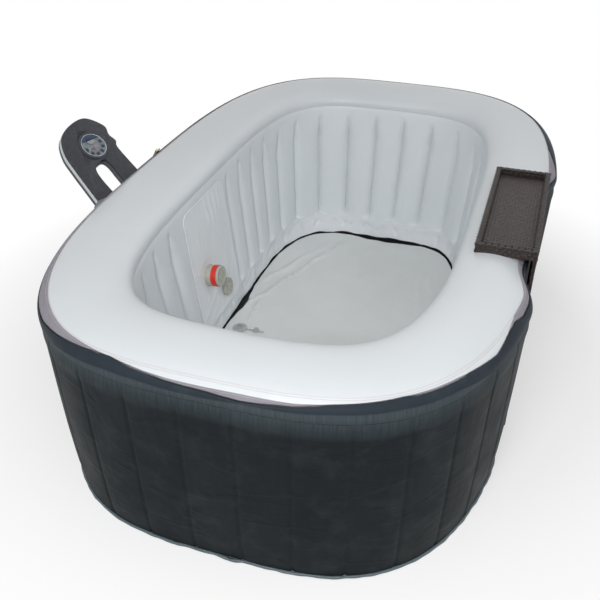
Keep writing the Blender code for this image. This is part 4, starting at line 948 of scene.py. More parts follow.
def beads_tree(name, look):
    """Small blocks at an even pitch along a route: stitches, or the teeth of a zip."""
    made = Tree(name, (("Pitch", "Float", 0.005), ("Long", "Float", 0.003), ("Wide", "Float", 0.0008),
                       ("High", "Float", 0.0006)))
    route = made.add("GeometryNodeMeshToCurve", {0: made.given("Geometry")})
    even = made.add("GeometryNodeResampleCurve", {"Curve": route.outputs[0], "Length": made.given("Pitch")},
                    mode="LENGTH")
    wide, high, long = (made.given(title) for title in ("Wide", "High", "Long"))
    size = made.add("ShaderNodeCombineXYZ", {0: wide, 1: high, 2: long})
    block = made.add("GeometryNodeMeshCube", {"Size": size.outputs[0], "Vertices X": 2, "Vertices Y": 2,
                                              "Vertices Z": 4})
    place = made.add("GeometryNodeInputPosition")
    parts = made.add("ShaderNodeSeparateXYZ", {0: place.outputs[0]})
    share = made.run("DIVIDE", parts.outputs[2], made.run("MULTIPLY", made.given("Long"), 0.5))
    waist = made.run("SUBTRACT", 1.0, made.run("MULTIPLY", made.run("MULTIPLY", share, share), 0.45))
    bent = made.add("ShaderNodeCombineXYZ", {0: made.run("MULTIPLY", parts.outputs[0], waist),
                                             1: made.run("MULTIPLY", parts.outputs[1], waist),
                                             2: parts.outputs[2]})
    block = made.add("GeometryNodeSetPosition", {"Geometry": block.outputs[0], "Position": bent.outputs[0]})
    tangent = made.add("GeometryNodeInputTangent")
    facing = made.add("FunctionNodeAlignRotationToVector", {"Vector": tangent.outputs[0]}, axis="Z")
    many = made.add("GeometryNodeInstanceOnPoints", {"Points": even.outputs[0], "Instance": block.outputs[0],
                                                     "Rotation": facing.outputs[0]})
    return made.close(many.outputs[0], look)


def weave_tree(look):
    """Arched strands on a grid, turned by a quarter at every second crossing."""
    made = Tree("weave", (("Columns", "Int", 10), ("Rows", "Int", 10), ("Column Width", "Float", 0.008),
                          ("Row Width", "Float", 0.008), ("Rise", "Float", 0.0018), ("Seed", "Int", 4)))
    columns, rows = made.given("Columns"), made.given("Rows")
    wide = made.run("MULTIPLY", made.run("SUBTRACT", columns, 1.0), made.given("Column Width"))
    long = made.run("MULTIPLY", made.run("SUBTRACT", rows, 1.0), made.given("Row Width"))
    grid = made.add("GeometryNodeMeshGrid", {"Size X": wide, "Size Y": long, "Vertices X": columns,
                                             "Vertices Y": rows})
    size = made.add("ShaderNodeCombineXYZ", {0: 1.30, 1: 0.86, 2: 0.5})
    block = made.add("GeometryNodeMeshCube", {"Size": size.outputs[0], "Vertices X": 5, "Vertices Y": 2,
                                              "Vertices Z": 2})
    place = made.add("GeometryNodeInputPosition")
    parts = made.add("ShaderNodeSeparateXYZ", {0: place.outputs[0]})
    arch = made.run("MULTIPLY", made.run("MULTIPLY", parts.outputs[0], parts.outputs[0]), -2.4)
    lift = made.add("ShaderNodeCombineXYZ", {2: arch})
    block = made.add("GeometryNodeSetPosition", {"Geometry": block.outputs[0], "Offset": lift.outputs[0]})
    number = made.add("GeometryNodeInputIndex").outputs[0]
    column = made.run("FLOOR", made.run("DIVIDE", number, rows))
    row = made.run("MODULO", number, rows)
    odd = made.run("MODULO", made.run("ADD", column, row), 2.0)
    slack = made.add("FunctionNodeRandomValue", {"Min": (-0.04, -0.04, -0.10), "Max": (0.04, 0.04, 0.10),
                                                 "Seed": made.given("Seed")}, data_type="FLOAT_VECTOR")
    turn = made.add("ShaderNodeCombineXYZ", {2: made.run("MULTIPLY", odd, math.pi / 2)})
    tilt = made.add("ShaderNodeVectorMath", {0: turn.outputs[0], 1: slack.outputs[0]}, operation="ADD")
    scale = made.add("ShaderNodeCombineXYZ", {0: made.given("Column Width"), 1: made.given("Row Width"),
                                              2: made.given("Rise")})
    many = made.add("GeometryNodeInstanceOnPoints", {"Points": grid.outputs[0], "Instance": block.outputs[0],
                                                     "Rotation": tilt.outputs[0], "Scale": scale.outputs[0]})
    both = made.add("GeometryNodeJoinGeometry")
    made.tree.links.new(many.outputs[0], both.inputs[0])
    made.tree.links.new(made.given("Geometry"), both.inputs[0])
    return made.close(both.outputs[0], look)


# Rim, walls and floor

rim_steps = 40
ring_steps = 320
weld_angles = (39.0, 43.0)


def rim_reach(angle):
    """How far from the rim's lower edge an angle lies, along the sheet."""
    angles = np.linspace(rim_low_angle, rim_high_angle, rim_steps)
    rows = np.array([rim_row(each, 0.0, ring_steps) for each in angles])
    steps = np.linalg.norm(np.diff(rows, axis=0), axis=2).mean(axis=1)
    return float(np.interp(angle, angles, np.concatenate([[0.0], np.cumsum(steps)])))


def build_rim():
    turn = turns(ring_steps)
    swell = 0.0012 * ripple(turn, 3, 4, 19)
    outer = []
    for angle in np.linspace(rim_low_angle, rim_high_angle, rim_steps):
        share = rise((angle - 50) / 40) * rise((176 - angle) / 30)
        outer.append(rim_row(angle, swell * share, ring_steps))
    inner = [rim_row(angle, -sheet, ring_steps) for angle in np.linspace(rim_high_angle, rim_low_angle, 14)]
    rim = loft("rim", outer + inner, finish("rim_vinyl"))
    dress(rim, "tub", "pale_vinyl", "rim_sheet")


def wall_top():
    return rim_row(rim_high_angle, 0, 8)[0][2] - gap


def build_ribs():
    """The ribbed wall: round tubes side by side, with sharp welds between them."""
    size = sizes()
    steps = 16
    count = rib_count * steps
    top = wall_top()
    u = np.abs((np.arange(count) % steps) / steps * 2 - 1)
    heights = np.concatenate([ribs_low + np.array([0, .002, .005, .009, .014, .020, .028]),
                              np.linspace(ribs_low + 0.045, top - 0.045, 26),
                              top - np.array([.034, .026, .020, .014, .009, .005, .002, 0])])
    front, back = [], []
    index = np.arange(count) // steps
    pick = np.random.RandomState(5)
    drop = pick.uniform(0.0, 1.0, rib_count)[index]
    for height in heights:
        low = np.clip((height - ribs_low) / (size.rib_fade * (0.8 + 0.5 * drop)), 0, 1)
        high = np.clip((top - 0.022 - 0.018 * drop - height) / size.rib_taper, 0, 1)
        hollow = 1 - (1 - u ** (2.6 * (1 + 2.5 * (1 - high)))) ** (1 / 1.7)
        full = np.sqrt(np.clip(1 - (1 - low) ** 2, 0, 1)) * high ** 0.7
        plan = inner_oval(height, count, sheet * max(0, (height - top + 0.01) / 0.01))
        flat = np.where(plan[:, 0] < 0, rise((plan[:, 1] - flat_low_y + 0.014) / 0.014)
                        * rise((flat_high_y + 0.014 - plan[:, 1]) / 0.014), 0)
        push = size.rib_depth * hollow * full * (1 - flat)
        front.append(pushed(plan, push, height))
        back.append(pushed(plan, push + sheet, height))
    wall = loft("ribbed_wall", front + back[::-1], finish("rib_vinyl"), sharp=75)
    cut(wall, fitting_pins())
    dress(wall, "tub", "rib_vinyl", "inner_wall")


# Shares of a turn round the mat's edge, and how far the edge stays in there: where it stays far in, the black
# floor shows as painted shade in the gap
mat_gap = (
    (0.0, 0.0005), (0.13, 0.0005), (0.15, 0.003), (0.20, 0.004), (0.21, 0.010), (0.225, 0.018), (0.26, 0.018),
    (0.272, 0.008), (0.28, 0.003), (0.292, 0.0025), (0.295, 0.0005), (0.302, 0.0005), (0.305, 0.0025),
    (0.318, 0.0025), (0.321, 0.0005), (0.352, 0.0005), (0.355, 0.0025), (0.381, 0.0025), (0.384, 0.0005),
    (0.388, 0.002), (0.45, 0.0025), (0.462, 0.007), (0.475, 0.014), (0.49, 0.014), (0.505, 0.006),
    (0.515, 0.002),
    (0.53, 0.002), (0.534, 0.005), (0.538, 0.004), (0.541, 0.0005), (1.0, 0.0005),
)


def mat_inset(turn):
    """How far the mat's edge stays off the skirt: the black floor sheet shows in some places only, as painted
    shade for the shadow in the gap under the mat's edge.
    """
    shares, insets = np.array(mat_gap).T
    return np.interp(turn / (2 * math.pi), shares, insets)


def corner_pull(turn):
    """How far the foot of the well is drawn in at its back left corner."""
    return 0.010 * around(turn, 0.335, 0.055)


def build_skirt():
    """The plain strip between the ribs and the floor, loose and pleated under the welds."""
    count = 760
    turn = turns(count)
    step = np.arange(count) / count * rib_count
    wave = 0.0024 * (1 + ripple(turn, 8, 14, 60)) + 0.0008 * (1 + ripple(turn, 9, 60, 150))
    lower = 0.0025 * ripple(turn, 10, 9, 38)
    drift = 0.35 * ripple(turn, 11, 9, 30)
    tuck = rise((mat_inset(turn) - 0.0005) / 0.004)
    heights = np.linspace(ribs_low - gap, skirt_low, 16)
    front, back = [], []
    for height in heights:
        share = rise((ribs_low - height) / (ribs_low - skirt_low))
        plan = inner_oval(height, count)
        bulge = math.sin(math.pi * share)
        place = np.abs((step + drift * share + 0.5) % 1 - 0.5)
        pleat = np.exp(-(place / 0.09) ** 2) * bulge
        foot = wave * (0.1 + 0.3 * tuck) * share
        push = np.clip(wave * 0.5 * bulge + foot + 0.0040 * pleat, 0, 0.009) - corner_pull(turn) * share
        drop = np.clip(lower * share, -0.003, 0.006)
        front.append(pushed(plan, push, height + drop))
        back.append(pushed(plan, push + sheet, height + drop))
    skirt = loft("wall_skirt_sheet", front + back[::-1], finish("skirt_vinyl"))
    dress(skirt, "tub", "pale_vinyl", "wall_skirt")


mat_folds = (
    ((-0.323, 0.018), (-0.107, 0.576), 1.0, 0.012),
    ((-0.315, 0.198), (-0.230, 0.371), 0.7, 0.010),
    ((-0.281, -0.095), (-0.275, 0.091), 0.8, 0.010),
    ((-0.315, 0.198), (-0.165, 0.541), 0.6, 0.014),
    ((-0.05, 0.58), (0.02, 0.30), 0.35, 0.012),
    ((0.08, 0.60), (0.12, 0.36), 0.3, 0.012),
    ((0.24, 0.42), (0.30, 0.18), 0.45, 0.012),
    ((0.20, 0.45), (0.24, 0.20), 0.35, 0.012),
    ((-0.20, -0.05), (0.10, -0.30), 0.2, 0.018),
    ((-0.24, -0.16), (-0.05, -0.48), 0.25, 0.015),
)


def fold_height(x, y):
    """How high the mat's folds stand at a place."""
    total = np.zeros_like(x)
    for start, end, strength, width in mat_folds:
        run, away, length = beside(x, y, start, end)
        away = away + 0.004 * np.sin(run * 37 + start[0] * 50)
        ends = rise(run / 0.06 + 0.3) * rise((length - run) / 0.06 + 0.3)
        ridge = np.where(away > 0, np.exp(-away / (width * 0.8)), np.exp(-(away / (width * 0.28)) ** 2))
        total += strength * ends * ridge
    return total


def build_mat():
    """The thin padded mat: its edge wanders, and it keeps the folds it was packed in."""
    size = sizes()
    count = 360
    turn = turns(count)
    inset = mat_inset(turn) * (1 + 0.15 * ripple(turn, 22, 20, 60)) + corner_pull(turn)
    edge = inner_oval(0.0, count)
    edge = edge - outward(edge) * np.clip(inset, 0.0003, 0.022)[:, None]
    under = [level(edge * share, mat_low) for share in (0.05, 0.5, 0.9, 0.985, 0.995)]
    side = [level(edge, mat_low + 0.003), level(edge, mat_top - 0.003)]
    top = []
    for share in np.concatenate([[0.9975, 0.993, 0.985, 0.975], np.linspace(0.96, 0.05, 64)]):
        plan = edge * share
        inward = min(1.0, (1 - share) / 0.02)
        height = mat_top - 0.0012 * (1 - math.sqrt(1 - (1 - inward) ** 2))
        near = np.minimum(np.hypot(plan[:, 0] - drain_x, plan[:, 1] - drain_y),
                          np.hypot(plan[:, 0] - drain_x - drain_spacing, plan[:, 1] - drain_y))
        calm = rise((near - 0.032) / 0.03)
        folds = size.mat_fold * fold_height(plan[:, 0], plan[:, 1]) * calm * inward
        top.append(level(plan, height + folds))
    mat = loft("mat", under + side + top, finish("mat_vinyl"), closed=False)
    well = turned("drain_hole", [(0.0123, mat_low - 0.01), (0.0123, mat_top + 0.02)],
                  Matrix.Translation((drain_x, drain_y, 0)), None, 32, round_off=0)
    cut(mat, [well])
    dress(mat, "tub", "mat_vinyl", "floor_mat")


def build_floor():
    """The black floor sheet, seen where the mat leaves a gap as painted shade for the shadow under the mat's
    edge, and the ground sheet under the tub.
    """
    count = 240
    ripples = 0.00015 * ripple(turns(count), 31, 20, 60)
    plan = inner_oval(0.0018, count, floor_hem)
    rows = [level(plan * share, 0.0018) for share in (0.02, 0.5, 0.995)] + [level(plan, 0.0022)]
    rows += [level(plan * share, 0.0032 + ripples * (share > 0.9)) for share in (0.998, 0.95, 0.5, 0.02)]
    floor = loft("floor_sheet", rows, finish("black_vinyl"), closed=False)
    dress(floor, "tub", "black_vinyl", "tub_floor")
    plan = outer_oval(ground_inset, count)
    shares = (0.02, 0.5, 0.997, 1, 1, 0.997, 0.5, 0.02)
    heights = (0.0, 0.0, 0.0, 0.0004, 0.0011, sheet, sheet, sheet)
    rows = [level(plan * share, height) for share, height in zip(shares, heights)]
    ground = loft("ground_cloth", rows, finish("black_vinyl"), closed=False)
    dress(ground, "tub", "black_vinyl", "ground_sheet")


def copy_of(name, source, body, slot, look):
    """A cleaned copy of a solid of the frame, smooth shaded, that stands for it."""
    mesh = frame["nodes"][source].data.copy()
    shape = bmesh.new()
    shape.from_mesh(mesh)
    bmesh.ops.remove_doubles(shape, verts=shape.verts, dist=1e-5)
    bmesh.ops.dissolve_limit(shape, angle_limit=math.radians(0.5), verts=shape.verts, edges=shape.edges)
    shape.to_mesh(mesh)
    shape.free()
    mesh.materials.clear()
    mesh.materials.append(finish(look))
    mesh.name = name
    obj = in_scene(name, mesh)
    bevel = obj.modifiers.new("edge", "BEVEL")
    bevel.width = 0.0004
    bevel.segments = 2
    bevel.limit_method = "ANGLE"
    bevel.angle_limit = math.radians(35)
    settle(obj)
    obj.data.shade_smooth()
    obj.data.set_sharp_from_angle(angle=math.radians(50))
    return dress(obj, body, slot, source)


# Flat panel and its fittings

def panel_point(y, height, out=0.0):
    """A point of the panel's front face, given its height along the panel."""
    foot = -floor_width / 2 + panel_seat + panel_thickness
    return Vector((foot - height * math.sin(lean) + out * math.cos(lean), y,
                   height * math.cos(lean) + out * math.sin(lean)))


def panel_frame(y, height):
    """The frame of a fitting: Z comes out of the panel, X points up it."""
    c, s = math.cos(lean), math.sin(lean)
    return frame_at(panel_point(y, height), (c, 0, s), (-s, 0, c))


def hole_pin(y, height, radius):
    return turned("pin", [(radius, -0.04), (radius, 0.02)], panel_frame(y, height), None, 40, round_off=0)


def fitting_pins():
    return [hole_pin(filter_y, filter_height, filter_hole_radius),
            hole_pin(outlet_y, outlet_height, outlet_hole_radius)]


panel_creases = (
    ((0.28, -0.220), (0.255, -0.18), 1.0), ((0.10, -0.220), (0.165, -0.10), 1.0),
    ((0.07, -0.05), (0.20, 0.05), 0.8),
    ((0.468, -0.078), (0.38, -0.072), 1.2), ((0.468, -0.047), (0.37, -0.043), 1.2),
    ((0.468, -0.015), (0.385, -0.014), 1.2), ((0.468, 0.015), (0.39, 0.010), 1.0),
    ((0.075, -0.18), (0.12, -0.10), 1.0), ((0.12, 0.05), (0.16, -0.02), 0.6),
)


def rounded_rectangle(low, high, corner, steps, along):
    """Plan points of a rectangle with round corners, with extra points on its straight sides."""
    points = []
    corners = ((high[0], high[1]), (low[0], high[1]), (low[0], low[1]), (high[0], low[1]))
    for index, (x, y) in enumerate(corners):
        middle = (x - corner * (1 if x == high[0] else -1), y - corner * (1 if y == high[1] else -1))
        for step in range(steps + 1):
            angle = math.pi / 2 * (index + step / steps)
            points.append((middle[0] + corner * math.cos(angle), middle[1] + corner * math.sin(angle)))
    points = np.array(points)
    ring = np.concatenate([points, points[:1]])
    run = np.concatenate([[0.0], np.cumsum(np.linalg.norm(np.diff(ring, axis=0), axis=1))])
    at = np.linspace(0, run[-1], along, endpoint=False)
    return np.stack([np.interp(at, run, ring[:, 0]), np.interp(at, run, ring[:, 1])], 1)


def build_panel():
    """The flat panel: a welded border, and creases that run from it."""
    plan = rounded_rectangle((panel_low, panel_low_y), (panel_top, panel_high_y), panel_corner, 6, 240)
    middle = (plan.max(0) + plan.min(0)) / 2
    rows = [np.array([panel_point(y, x, -panel_thickness) for x, y in middle + (plan - middle) * share])
            for share in (0.02, 0.6, 0.99, 1.0)]
    near_edge = [1.0, 0.994, 0.985, 0.975, 0.962, 0.95, 0.935]
    for share in np.concatenate([near_edge, np.linspace(0.92, 0.02, 44)]):
        ring = middle + (plan - middle) * share
        height = 0.0004 * (rise((1 - share) / 0.008) - rise((0.972 - share) / 0.02) * 0.9)
        swell = 0.0030 * rise((0.95 - share) / 0.5)
        out = np.full(len(ring), height + swell)
        for start, end, strength in panel_creases:
            run, away, length = beside(ring[:, 0], ring[:, 1], start, end)
            ends = rise(run / 0.03 + 1) * rise((length - run) / 0.04 + 0.5) * rise((0.965 - share) / 0.03)
            out += 0.0016 * strength * ends * np.exp(-(away / 0.006) ** 2)
        for y, up, reach in ((filter_y, filter_height, 0.036), (outlet_y, outlet_height, 0.031)):
            near = np.hypot(ring[:, 0] - up, ring[:, 1] - y)
            out *= rise((near - reach) / 0.03)
        rows.append(np.array([panel_point(y, x, max(0.0, lift)) for (x, y), lift in zip(ring, out)]))
    panel = loft("panel", rows, finish("panel_vinyl"), closed=False)
    cut(panel, fitting_pins())
    dress(panel, "tub", "rib_vinyl", "wall_panel")


def pins(radius, ring, count, low, high, place):
    """A ring of pins that cut perforations."""
    made = []
    for index in range(count):
        angle = 2 * math.pi * index / count
        shift = Matrix.Translation((ring * math.cos(angle), ring * math.sin(angle), 0))
        made.append(turned("pin", [(radius, low), (radius, high)], place @ shift, None, 14, round_off=0))
    return made


def build_filter():
    place = panel_frame(filter_y, filter_height)
    neck, inner = 0.0225, filter_radius - 0.003
    profile = [(neck, -0.080), (neck, gap), (0.0345, gap), (0.0345, 0.004), (filter_radius, 0.0044),
               (filter_radius, filter_reach), (inner, filter_reach), (inner, 0.003), (0.019, 0.003),
               (0.019, -0.080)]
    housing = turned("filter_body", profile, place, finish("beige_plastic"), 64, True)
    dress(housing, "tub", "beige_plastic", "filter_housing")
    low, high = filter_band_low, filter_band_high
    ridges = [(filter_radius + gap, high), (filter_radius + gap, low), (filter_radius + 0.0016, low)]
    for step in range(6):
        z = low + (high - low) * (step + 0.5) / 6
        ridges += [(filter_radius + 0.0018, z - 0.0009), (filter_radius + 0.0014, z + 0.0008)]
    ridges.append((filter_radius + 0.0016, high))
    band = turned("red_band", ridges, place, finish("red_plastic"), 64, True, 0.0003)
    dress(band, "tub", "red_plastic", "filter_band")
    plug = inner - 0.0009
    low, high = filter_reach + gap, filter_reach + filter_cap_thickness
    profile = [(plug * 0.9, low - 0.004), (plug, low - 0.004), (plug, low), (filter_radius, low),
               (filter_radius, high), (filter_radius * 0.93, high), (filter_radius * 0.91, high - 0.0008),
               (filter_radius * 0.2, high - 0.0008)]
    cap = turned("filter_lid", profile, place, finish("beige_plastic"), 64)
    cut(cap, pins(0.0032, 0.0165, 8, low - 0.01, high + 0.01, place)
        + pins(0.0022, 0.0085, 4, low - 0.01, high + 0.01, place))
    dress(cap, "filter_cap", "beige_plastic", "filter_cap")


def build_outlet():
    place = panel_frame(outlet_y, outlet_height)
    profile = [(0.016, -0.082), (0.016, gap), (outlet_radius, gap), (outlet_radius, 0.005), (0.013, 0.005),
               (0.013, -0.082)]
    body = turned("outlet_flange", profile, place, finish("beige_plastic"), 56, True)
    dress(body, "tub", "beige_plastic", "outlet_body")
    low, high = 0.005 + gap, 0.0143
    profile = [(outlet_radius * 0.95, low), (outlet_radius, low + 0.001), (outlet_radius, high - 0.002),
               (outlet_radius - 0.002, high), (outlet_radius * 0.86, high - 0.0006),
               (outlet_radius * 0.1, high - 0.0006)]
    cap = turned("outlet_lid", profile, place, finish("beige_plastic"), 56)
    cut(cap, pins(0.0045, 0.0185, 6, low - 0.01, high + 0.01, place))
    dress(cap, "outlet_cap", "beige_plastic", "outlet_cap")


# Jacket and its band

jacket_steps = 42
jacket_insets = (
    (0.011, 0.0235), (0.08, 0.0168), (0.18, 0.0112), (0.30, 0.0070), (0.42, 0.0040), (0.464, 0.0036),
    (0.484, 0.0040),
)
seam_spacing = 0.0606
seam_half_width = 0.0048
least_pull, most_pull = -0.004, 0.008
hem_inset = 0.0235
ground_inset = 0.0245
lowest_piping = 0.0016


def jacket_inset(height):
    """How far the jacket's outside lies within the outermost outline."""
    heights, insets = np.array(jacket_insets).T
    return float(np.interp(height, heights, insets))


def build_jacket():
    """The jacket: panels between upright seams, gathered under the band."""
    size = sizes()
    steps = jacket_steps
    count = seam_count * steps
    turn = turns(count)
    u = np.abs((np.arange(count) + steps // 2) % steps / steps * 2 - 1)
    groove = np.exp(-((1 - u) * seam_spacing / seam_half_width) ** 2) * 0.75 + 0.25 * u ** 2
    gather = gather_wave(turn)
    sway = ripple(turn, 44, 6, 30, 6)
    heights = np.concatenate([[jacket_low, 0.016, 0.026], np.linspace(0.045, 0.38, 12),
                              np.linspace(0.40, 0.484, 16)])
    front, back = [], []
    for height in heights:
        away = jacket_top - height
        pinch = math.exp(-away / 0.007) * 0.0006
        plump = 0.0024 * math.exp(-((away - 0.026) / 0.018) ** 2)
        full = rise((jacket_top - height) / 0.02)
        plan = outer_oval(jacket_inset(height), count)
        pull = size.seam_depth * groove * (0.4 + 0.6 * full) + pinch - plump
        pull = pull + size.gather_depth * gather * math.exp(-away / size.gather_reach) * 0.8
        pull = pull + 0.0014 * sway * rise(away / 0.1) * rise((height - 0.011) / 0.08)
        pull = np.clip(pull, least_pull, most_pull)
        front.append(pushed(plan, -pull, height))
        if height in heights[::3] or height == heights[-1]:
            back.append(pushed(plan, -(pull + jacket_skin), height))
    jacket = loft("jacket", front + back[::-1], finish("jacket_leather"), sharp=80)
    window = box("window", (unit_outer_x - 0.02, unit_low_y - window_play, jacket_low - 0.02),
                 (unit_split_x, unit_high_y + window_play, unit_window_top))
    cut(jacket, [window])
    dress(jacket, "tub", "jacket_leather", "jacket_wall")


band_top_edge = (
    (0.0, 39.5), (0.012, 39.5), (0.03, 12), (0.06, 12), (0.085, 39.5), (0.44, 39.5), (0.452, 29), (0.512, 29),
    (0.522, 7), (0.640, 7), (0.665, 15), (0.682, 25),
    (0.70, 35), (0.709, 37), (0.720, 30), (0.728, 26), (0.735, 21), (0.75, 17.5), (0.765, 13), (0.772, 15),
    (0.785, 20), (0.792, 26), (0.80, 31.5), (0.826, 35.5), (0.835, 31), (0.85, 29), (0.858, 31),
    (0.875, 22.5),
    (0.890, 33), (0.897, 34), (0.905, 24), (0.955, 24), (0.968, 39.5), (1.0, 39.5),
)
band_low_edge = (
    (0.0, -11), (0.655, -11), (0.685, 3), (0.709, 10.5), (0.725, 8), (0.735, 5), (0.75, 4), (0.765, 9.5),
    (0.785, 9.5), (0.80, 13.5), (0.826, 14), (0.85, 11.5), (0.875, -6), (0.885, -11), (1.0, -11),
)
tape_top_edge = (
    (0.0, 41.5), (0.69, 41.5), (0.709, 39), (0.725, 31), (0.735, 28), (0.75, 27), (0.765, 29), (0.785, 28),
    (0.80, 33), (0.826, 37), (0.85, 34.5), (0.875, 24), (0.89, 35), (0.90, 41.5), (1.0, 41.5),
)
band_foot_angle = -11


def edge_angle(turn, edge, seed):
    """The angle of an edge that runs round the rim, from its places, with a slight wander."""
    shares, angles = np.array(edge).T
    return np.interp(turn / (2 * math.pi), shares, angles) + 0.25 * ripple(turn, seed, 10, 40)


def gather_wave(turn):
    """The fine upright gathers at the jacket's upper edge."""
    strong = 0.6 + 0.4 * ripple(turn, 43, 2, 7, 3)
    return 0.45 * strong * (ripple(turn, 41, 300, 420, 9) + 0.5 * ripple(turn, 42, 120, 220, 5))


def strip_rows(low, high, shares, grow, count):
    """Lines along the rim between two angles, at shares of the way; the reach may bulge."""
    return [rim_row(low + (high - low) * share, grow(share), count) for share in shares]


def beads_along(name, tree, route, pitch, long, wide, high, look):
    values = {"Pitch": pitch, "Long": long, "Wide": wide, "High": high}
    return tree.grow(name, line_mesh(route), values, finish(look))


def stitches_along(name, tree, route, look):
    size = sizes()
    return beads_along(name, tree, route, size.stitch_pitch, size.stitch_length, size.stitch_width,
                       size.stitch_width, look)


def build_band():
    """The smooth band, and the gathers under it where the jacket reaches up on the rim's side."""
    count = seam_count * jacket_steps
    turn = turns(count)
    low = np.maximum(edge_angle(turn, band_low_edge, 52), band_foot_angle)
    top = np.maximum(edge_angle(turn, band_top_edge, 51), low + 0.5)
    shares = np.linspace(0, 1, 10)
    outer = strip_rows(low, top, shares,
                       lambda share: band_reach + 0.0008 * math.sin(math.pi * share), count)
    inner = strip_rows(low, top, shares[::-3], lambda share: band_grow, count)
    band = loft("band", outer + inner, finish("band_leather"), sharp=60)
    dress(band, "tub", "band_leather", "jacket_top_band")
    wave = np.clip(sizes().gather_depth * 0.5 * gather_wave(turn), -0.0006, 0.0008)
    high = low + 0.6
    foot = band_foot_angle - 0.5
    outer = strip_rows(foot, high, np.linspace(0, 1, 6),
                       lambda share: band_reach - 0.0020 + wave + 0.0006 * share, count)
    inner = [rim_row(high, tape_grow, count), rim_row(foot, tape_grow, count)]
    gathers = loft("band_gathers", outer + inner, finish("gather_leather"), sharp=60)
    dress(gathers, "tub", "jacket_leather")
    threads = beads_tree("stitches", finish("dark_thread"))
    route = rim_row(np.minimum(low + 1.5, top - 0.3), band_reach + 0.0006, count)
    dress(stitches_along("band_stitches", threads, route, "dark_thread"), "tub", "band_leather")


def build_zip():
    """The tape with its stitches, the line of teeth, and a black strip where the zip gapes: painted shade for
    the shadow in the gap.
    """
    count = 1200
    turn = turns(count)
    size = sizes()
    edge = edge_angle(turn, band_top_edge, 51)
    top = edge_angle(turn, tape_top_edge, 61)
    gape = rise((top - edge - 3) / 8)
    low = np.clip(edge + 1 + 1.2 * gape + 0.6 * gape * ripple(turn, 62, 20, 70), -8, top - 0.8)
    shares = np.linspace(0, 1, 8)
    outer = strip_rows(low, top, shares, lambda share: tape_grow + tape_skin, count)
    inner = strip_rows(low, top, shares[::-2], lambda share: tape_grow, count)
    tape = loft("tape", outer + inner, finish("tape_cloth"), sharp=60)
    dress(tape, "tub", "tape_cloth", "zip_tape")
    # Painted shade: a black strip behind the band and the tape, standing for the shadow where the zip gapes
    gap_shade_low = np.maximum(edge - 5, edge_angle(turn, band_low_edge, 52) + 1)
    outer = strip_rows(gap_shade_low, low + 1, np.linspace(0, 1, 5), lambda share: tape_grow + 0.0002, count)
    inner = strip_rows(gap_shade_low, low + 1, (1.0, 0.5, 0.0), lambda share: tape_grow - 0.0001, count)
    gap_shade = loft("zip_lining", outer + inner, finish("black_vinyl"), sharp=60)
    dress(gap_shade, "tub", "tape_cloth")
    threads = beads_tree("tape_stitches", finish("thread"))
    for name, drop in (("upper", 0.7), ("lower", 3.4)):
        route = rim_row(top - drop, tape_grow + tape_skin + 0.0001, count)
        dress(stitches_along("tape_stitches_" + name, threads, route, "thread"), "tub", "tape_cloth")
    teeth = beads_tree("zip_teeth", finish("zip_plastic"))
    route = rim_row(low + 0.2, tape_grow + tape_skin, count)
    chain = beads_along("zip_chain", teeth, route, size.tooth_pitch, size.tooth_pitch * 0.62,
                        size.tooth_length, 0.0014, "zip_plastic")
    dress(chain, "tub", "tape_cloth")


def build_piping():
    count = 960
    turn = turns(count)
    kinks = 0.0035 * (around(turn, 0.728, 0.006) - 0.6 * around(turn, 0.736, 0.006)
                      + around(turn, 0.756, 0.006) - 0.6 * around(turn, 0.764, 0.006))
    wander = 0.0008 * ripple(turn, 71, 20, 90) + kinks
    rows = []
    sides = 14
    for step in range(sides):
        angle = 2 * math.pi * step / sides
        reach = piping_radius * (1 + 0.12 * ripple(turn, 72, 60, 160))
        height = jacket_low - gap - piping_radius + np.minimum(reach, piping_radius + gap) * math.sin(angle)
        push = reach * math.cos(angle) + wander
        rows.append(pushed(outer_oval(hem_inset, count), push, np.maximum(height, lowest_piping)))
    piping = loft("piping", rows, finish("piping_vinyl"))
    dress(piping, "tub", "piping_vinyl", "hem_piping")


# Control arm

def smooth_path(points, steps):
    """Points along a smooth curve through the given points, ends included."""
    points = np.array(points, float)
    padded = np.concatenate([[2 * points[0] - points[1]], points, [2 * points[-1] - points[-2]]])
    made = []
    for index in range(1, len(padded) - 2):
        before, start, end, after = padded[index - 1:index + 3]
        for step in range(steps):
            t = step / steps
            made.append(0.5 * (2 * start + (end - before) * t
                               + (2 * before - 5 * start + 4 * end - after) * t ** 2
                               + (3 * start - before - 3 * end + after) * t ** 3))
    made.append(points[-1])
    return np.array(made)


def arm_frame():
    """The arm's frame: X across it, Y up it, Z out of its face."""
    turn, tilt = math.radians(arm_turn), math.radians(arm_lean)
    across = Vector((math.sin(turn), math.cos(turn), 0))
    level_out = Vector((-math.cos(turn), math.sin(turn), 0))
    upward = math.cos(tilt) * Vector((0, 0, 1)) + math.sin(tilt) * level_out
    axes = Matrix((across, upward, across.cross(upward))).transposed().to_4x4()
    return Matrix.Translation(Vector(arm_foot)) @ axes


def arm_outline():
    scale = np.array([arm_width, arm_height])
    start = np.array([arm_left, 0.0])
    outer = smooth_path(np.array(arm_outer_share) * scale + start, 8)
    hand = smooth_path(np.array(arm_hand_share) * scale + start, 8)
    return np.concatenate([outer, hand])


def drawn_in(outline, distance):
    """An outline drawn in by a distance, each corner mitred."""
    before = outline - np.roll(outline, 1, axis=0)
    after = np.roll(outline, -1, axis=0) - outline
    normals = []
    for edge in (before, after):
        edge = edge / np.linalg.norm(edge, axis=1)[:, None]
        normals.append(np.stack([edge[:, 1], -edge[:, 0]], 1))
    middle = normals[0] + normals[1]
    middle /= np.linalg.norm(middle, axis=1)[:, None]
    reach = distance / np.clip((middle * normals[0]).sum(axis=1), 0.5, 1)
    return outline + middle * reach[:, None]


def panel_disc_frame():
    """The control panel's frame: its middle on the arm's face, Z out of the face."""
    return arm_frame() @ Matrix.Translation((panel_across, panel_up, 0))


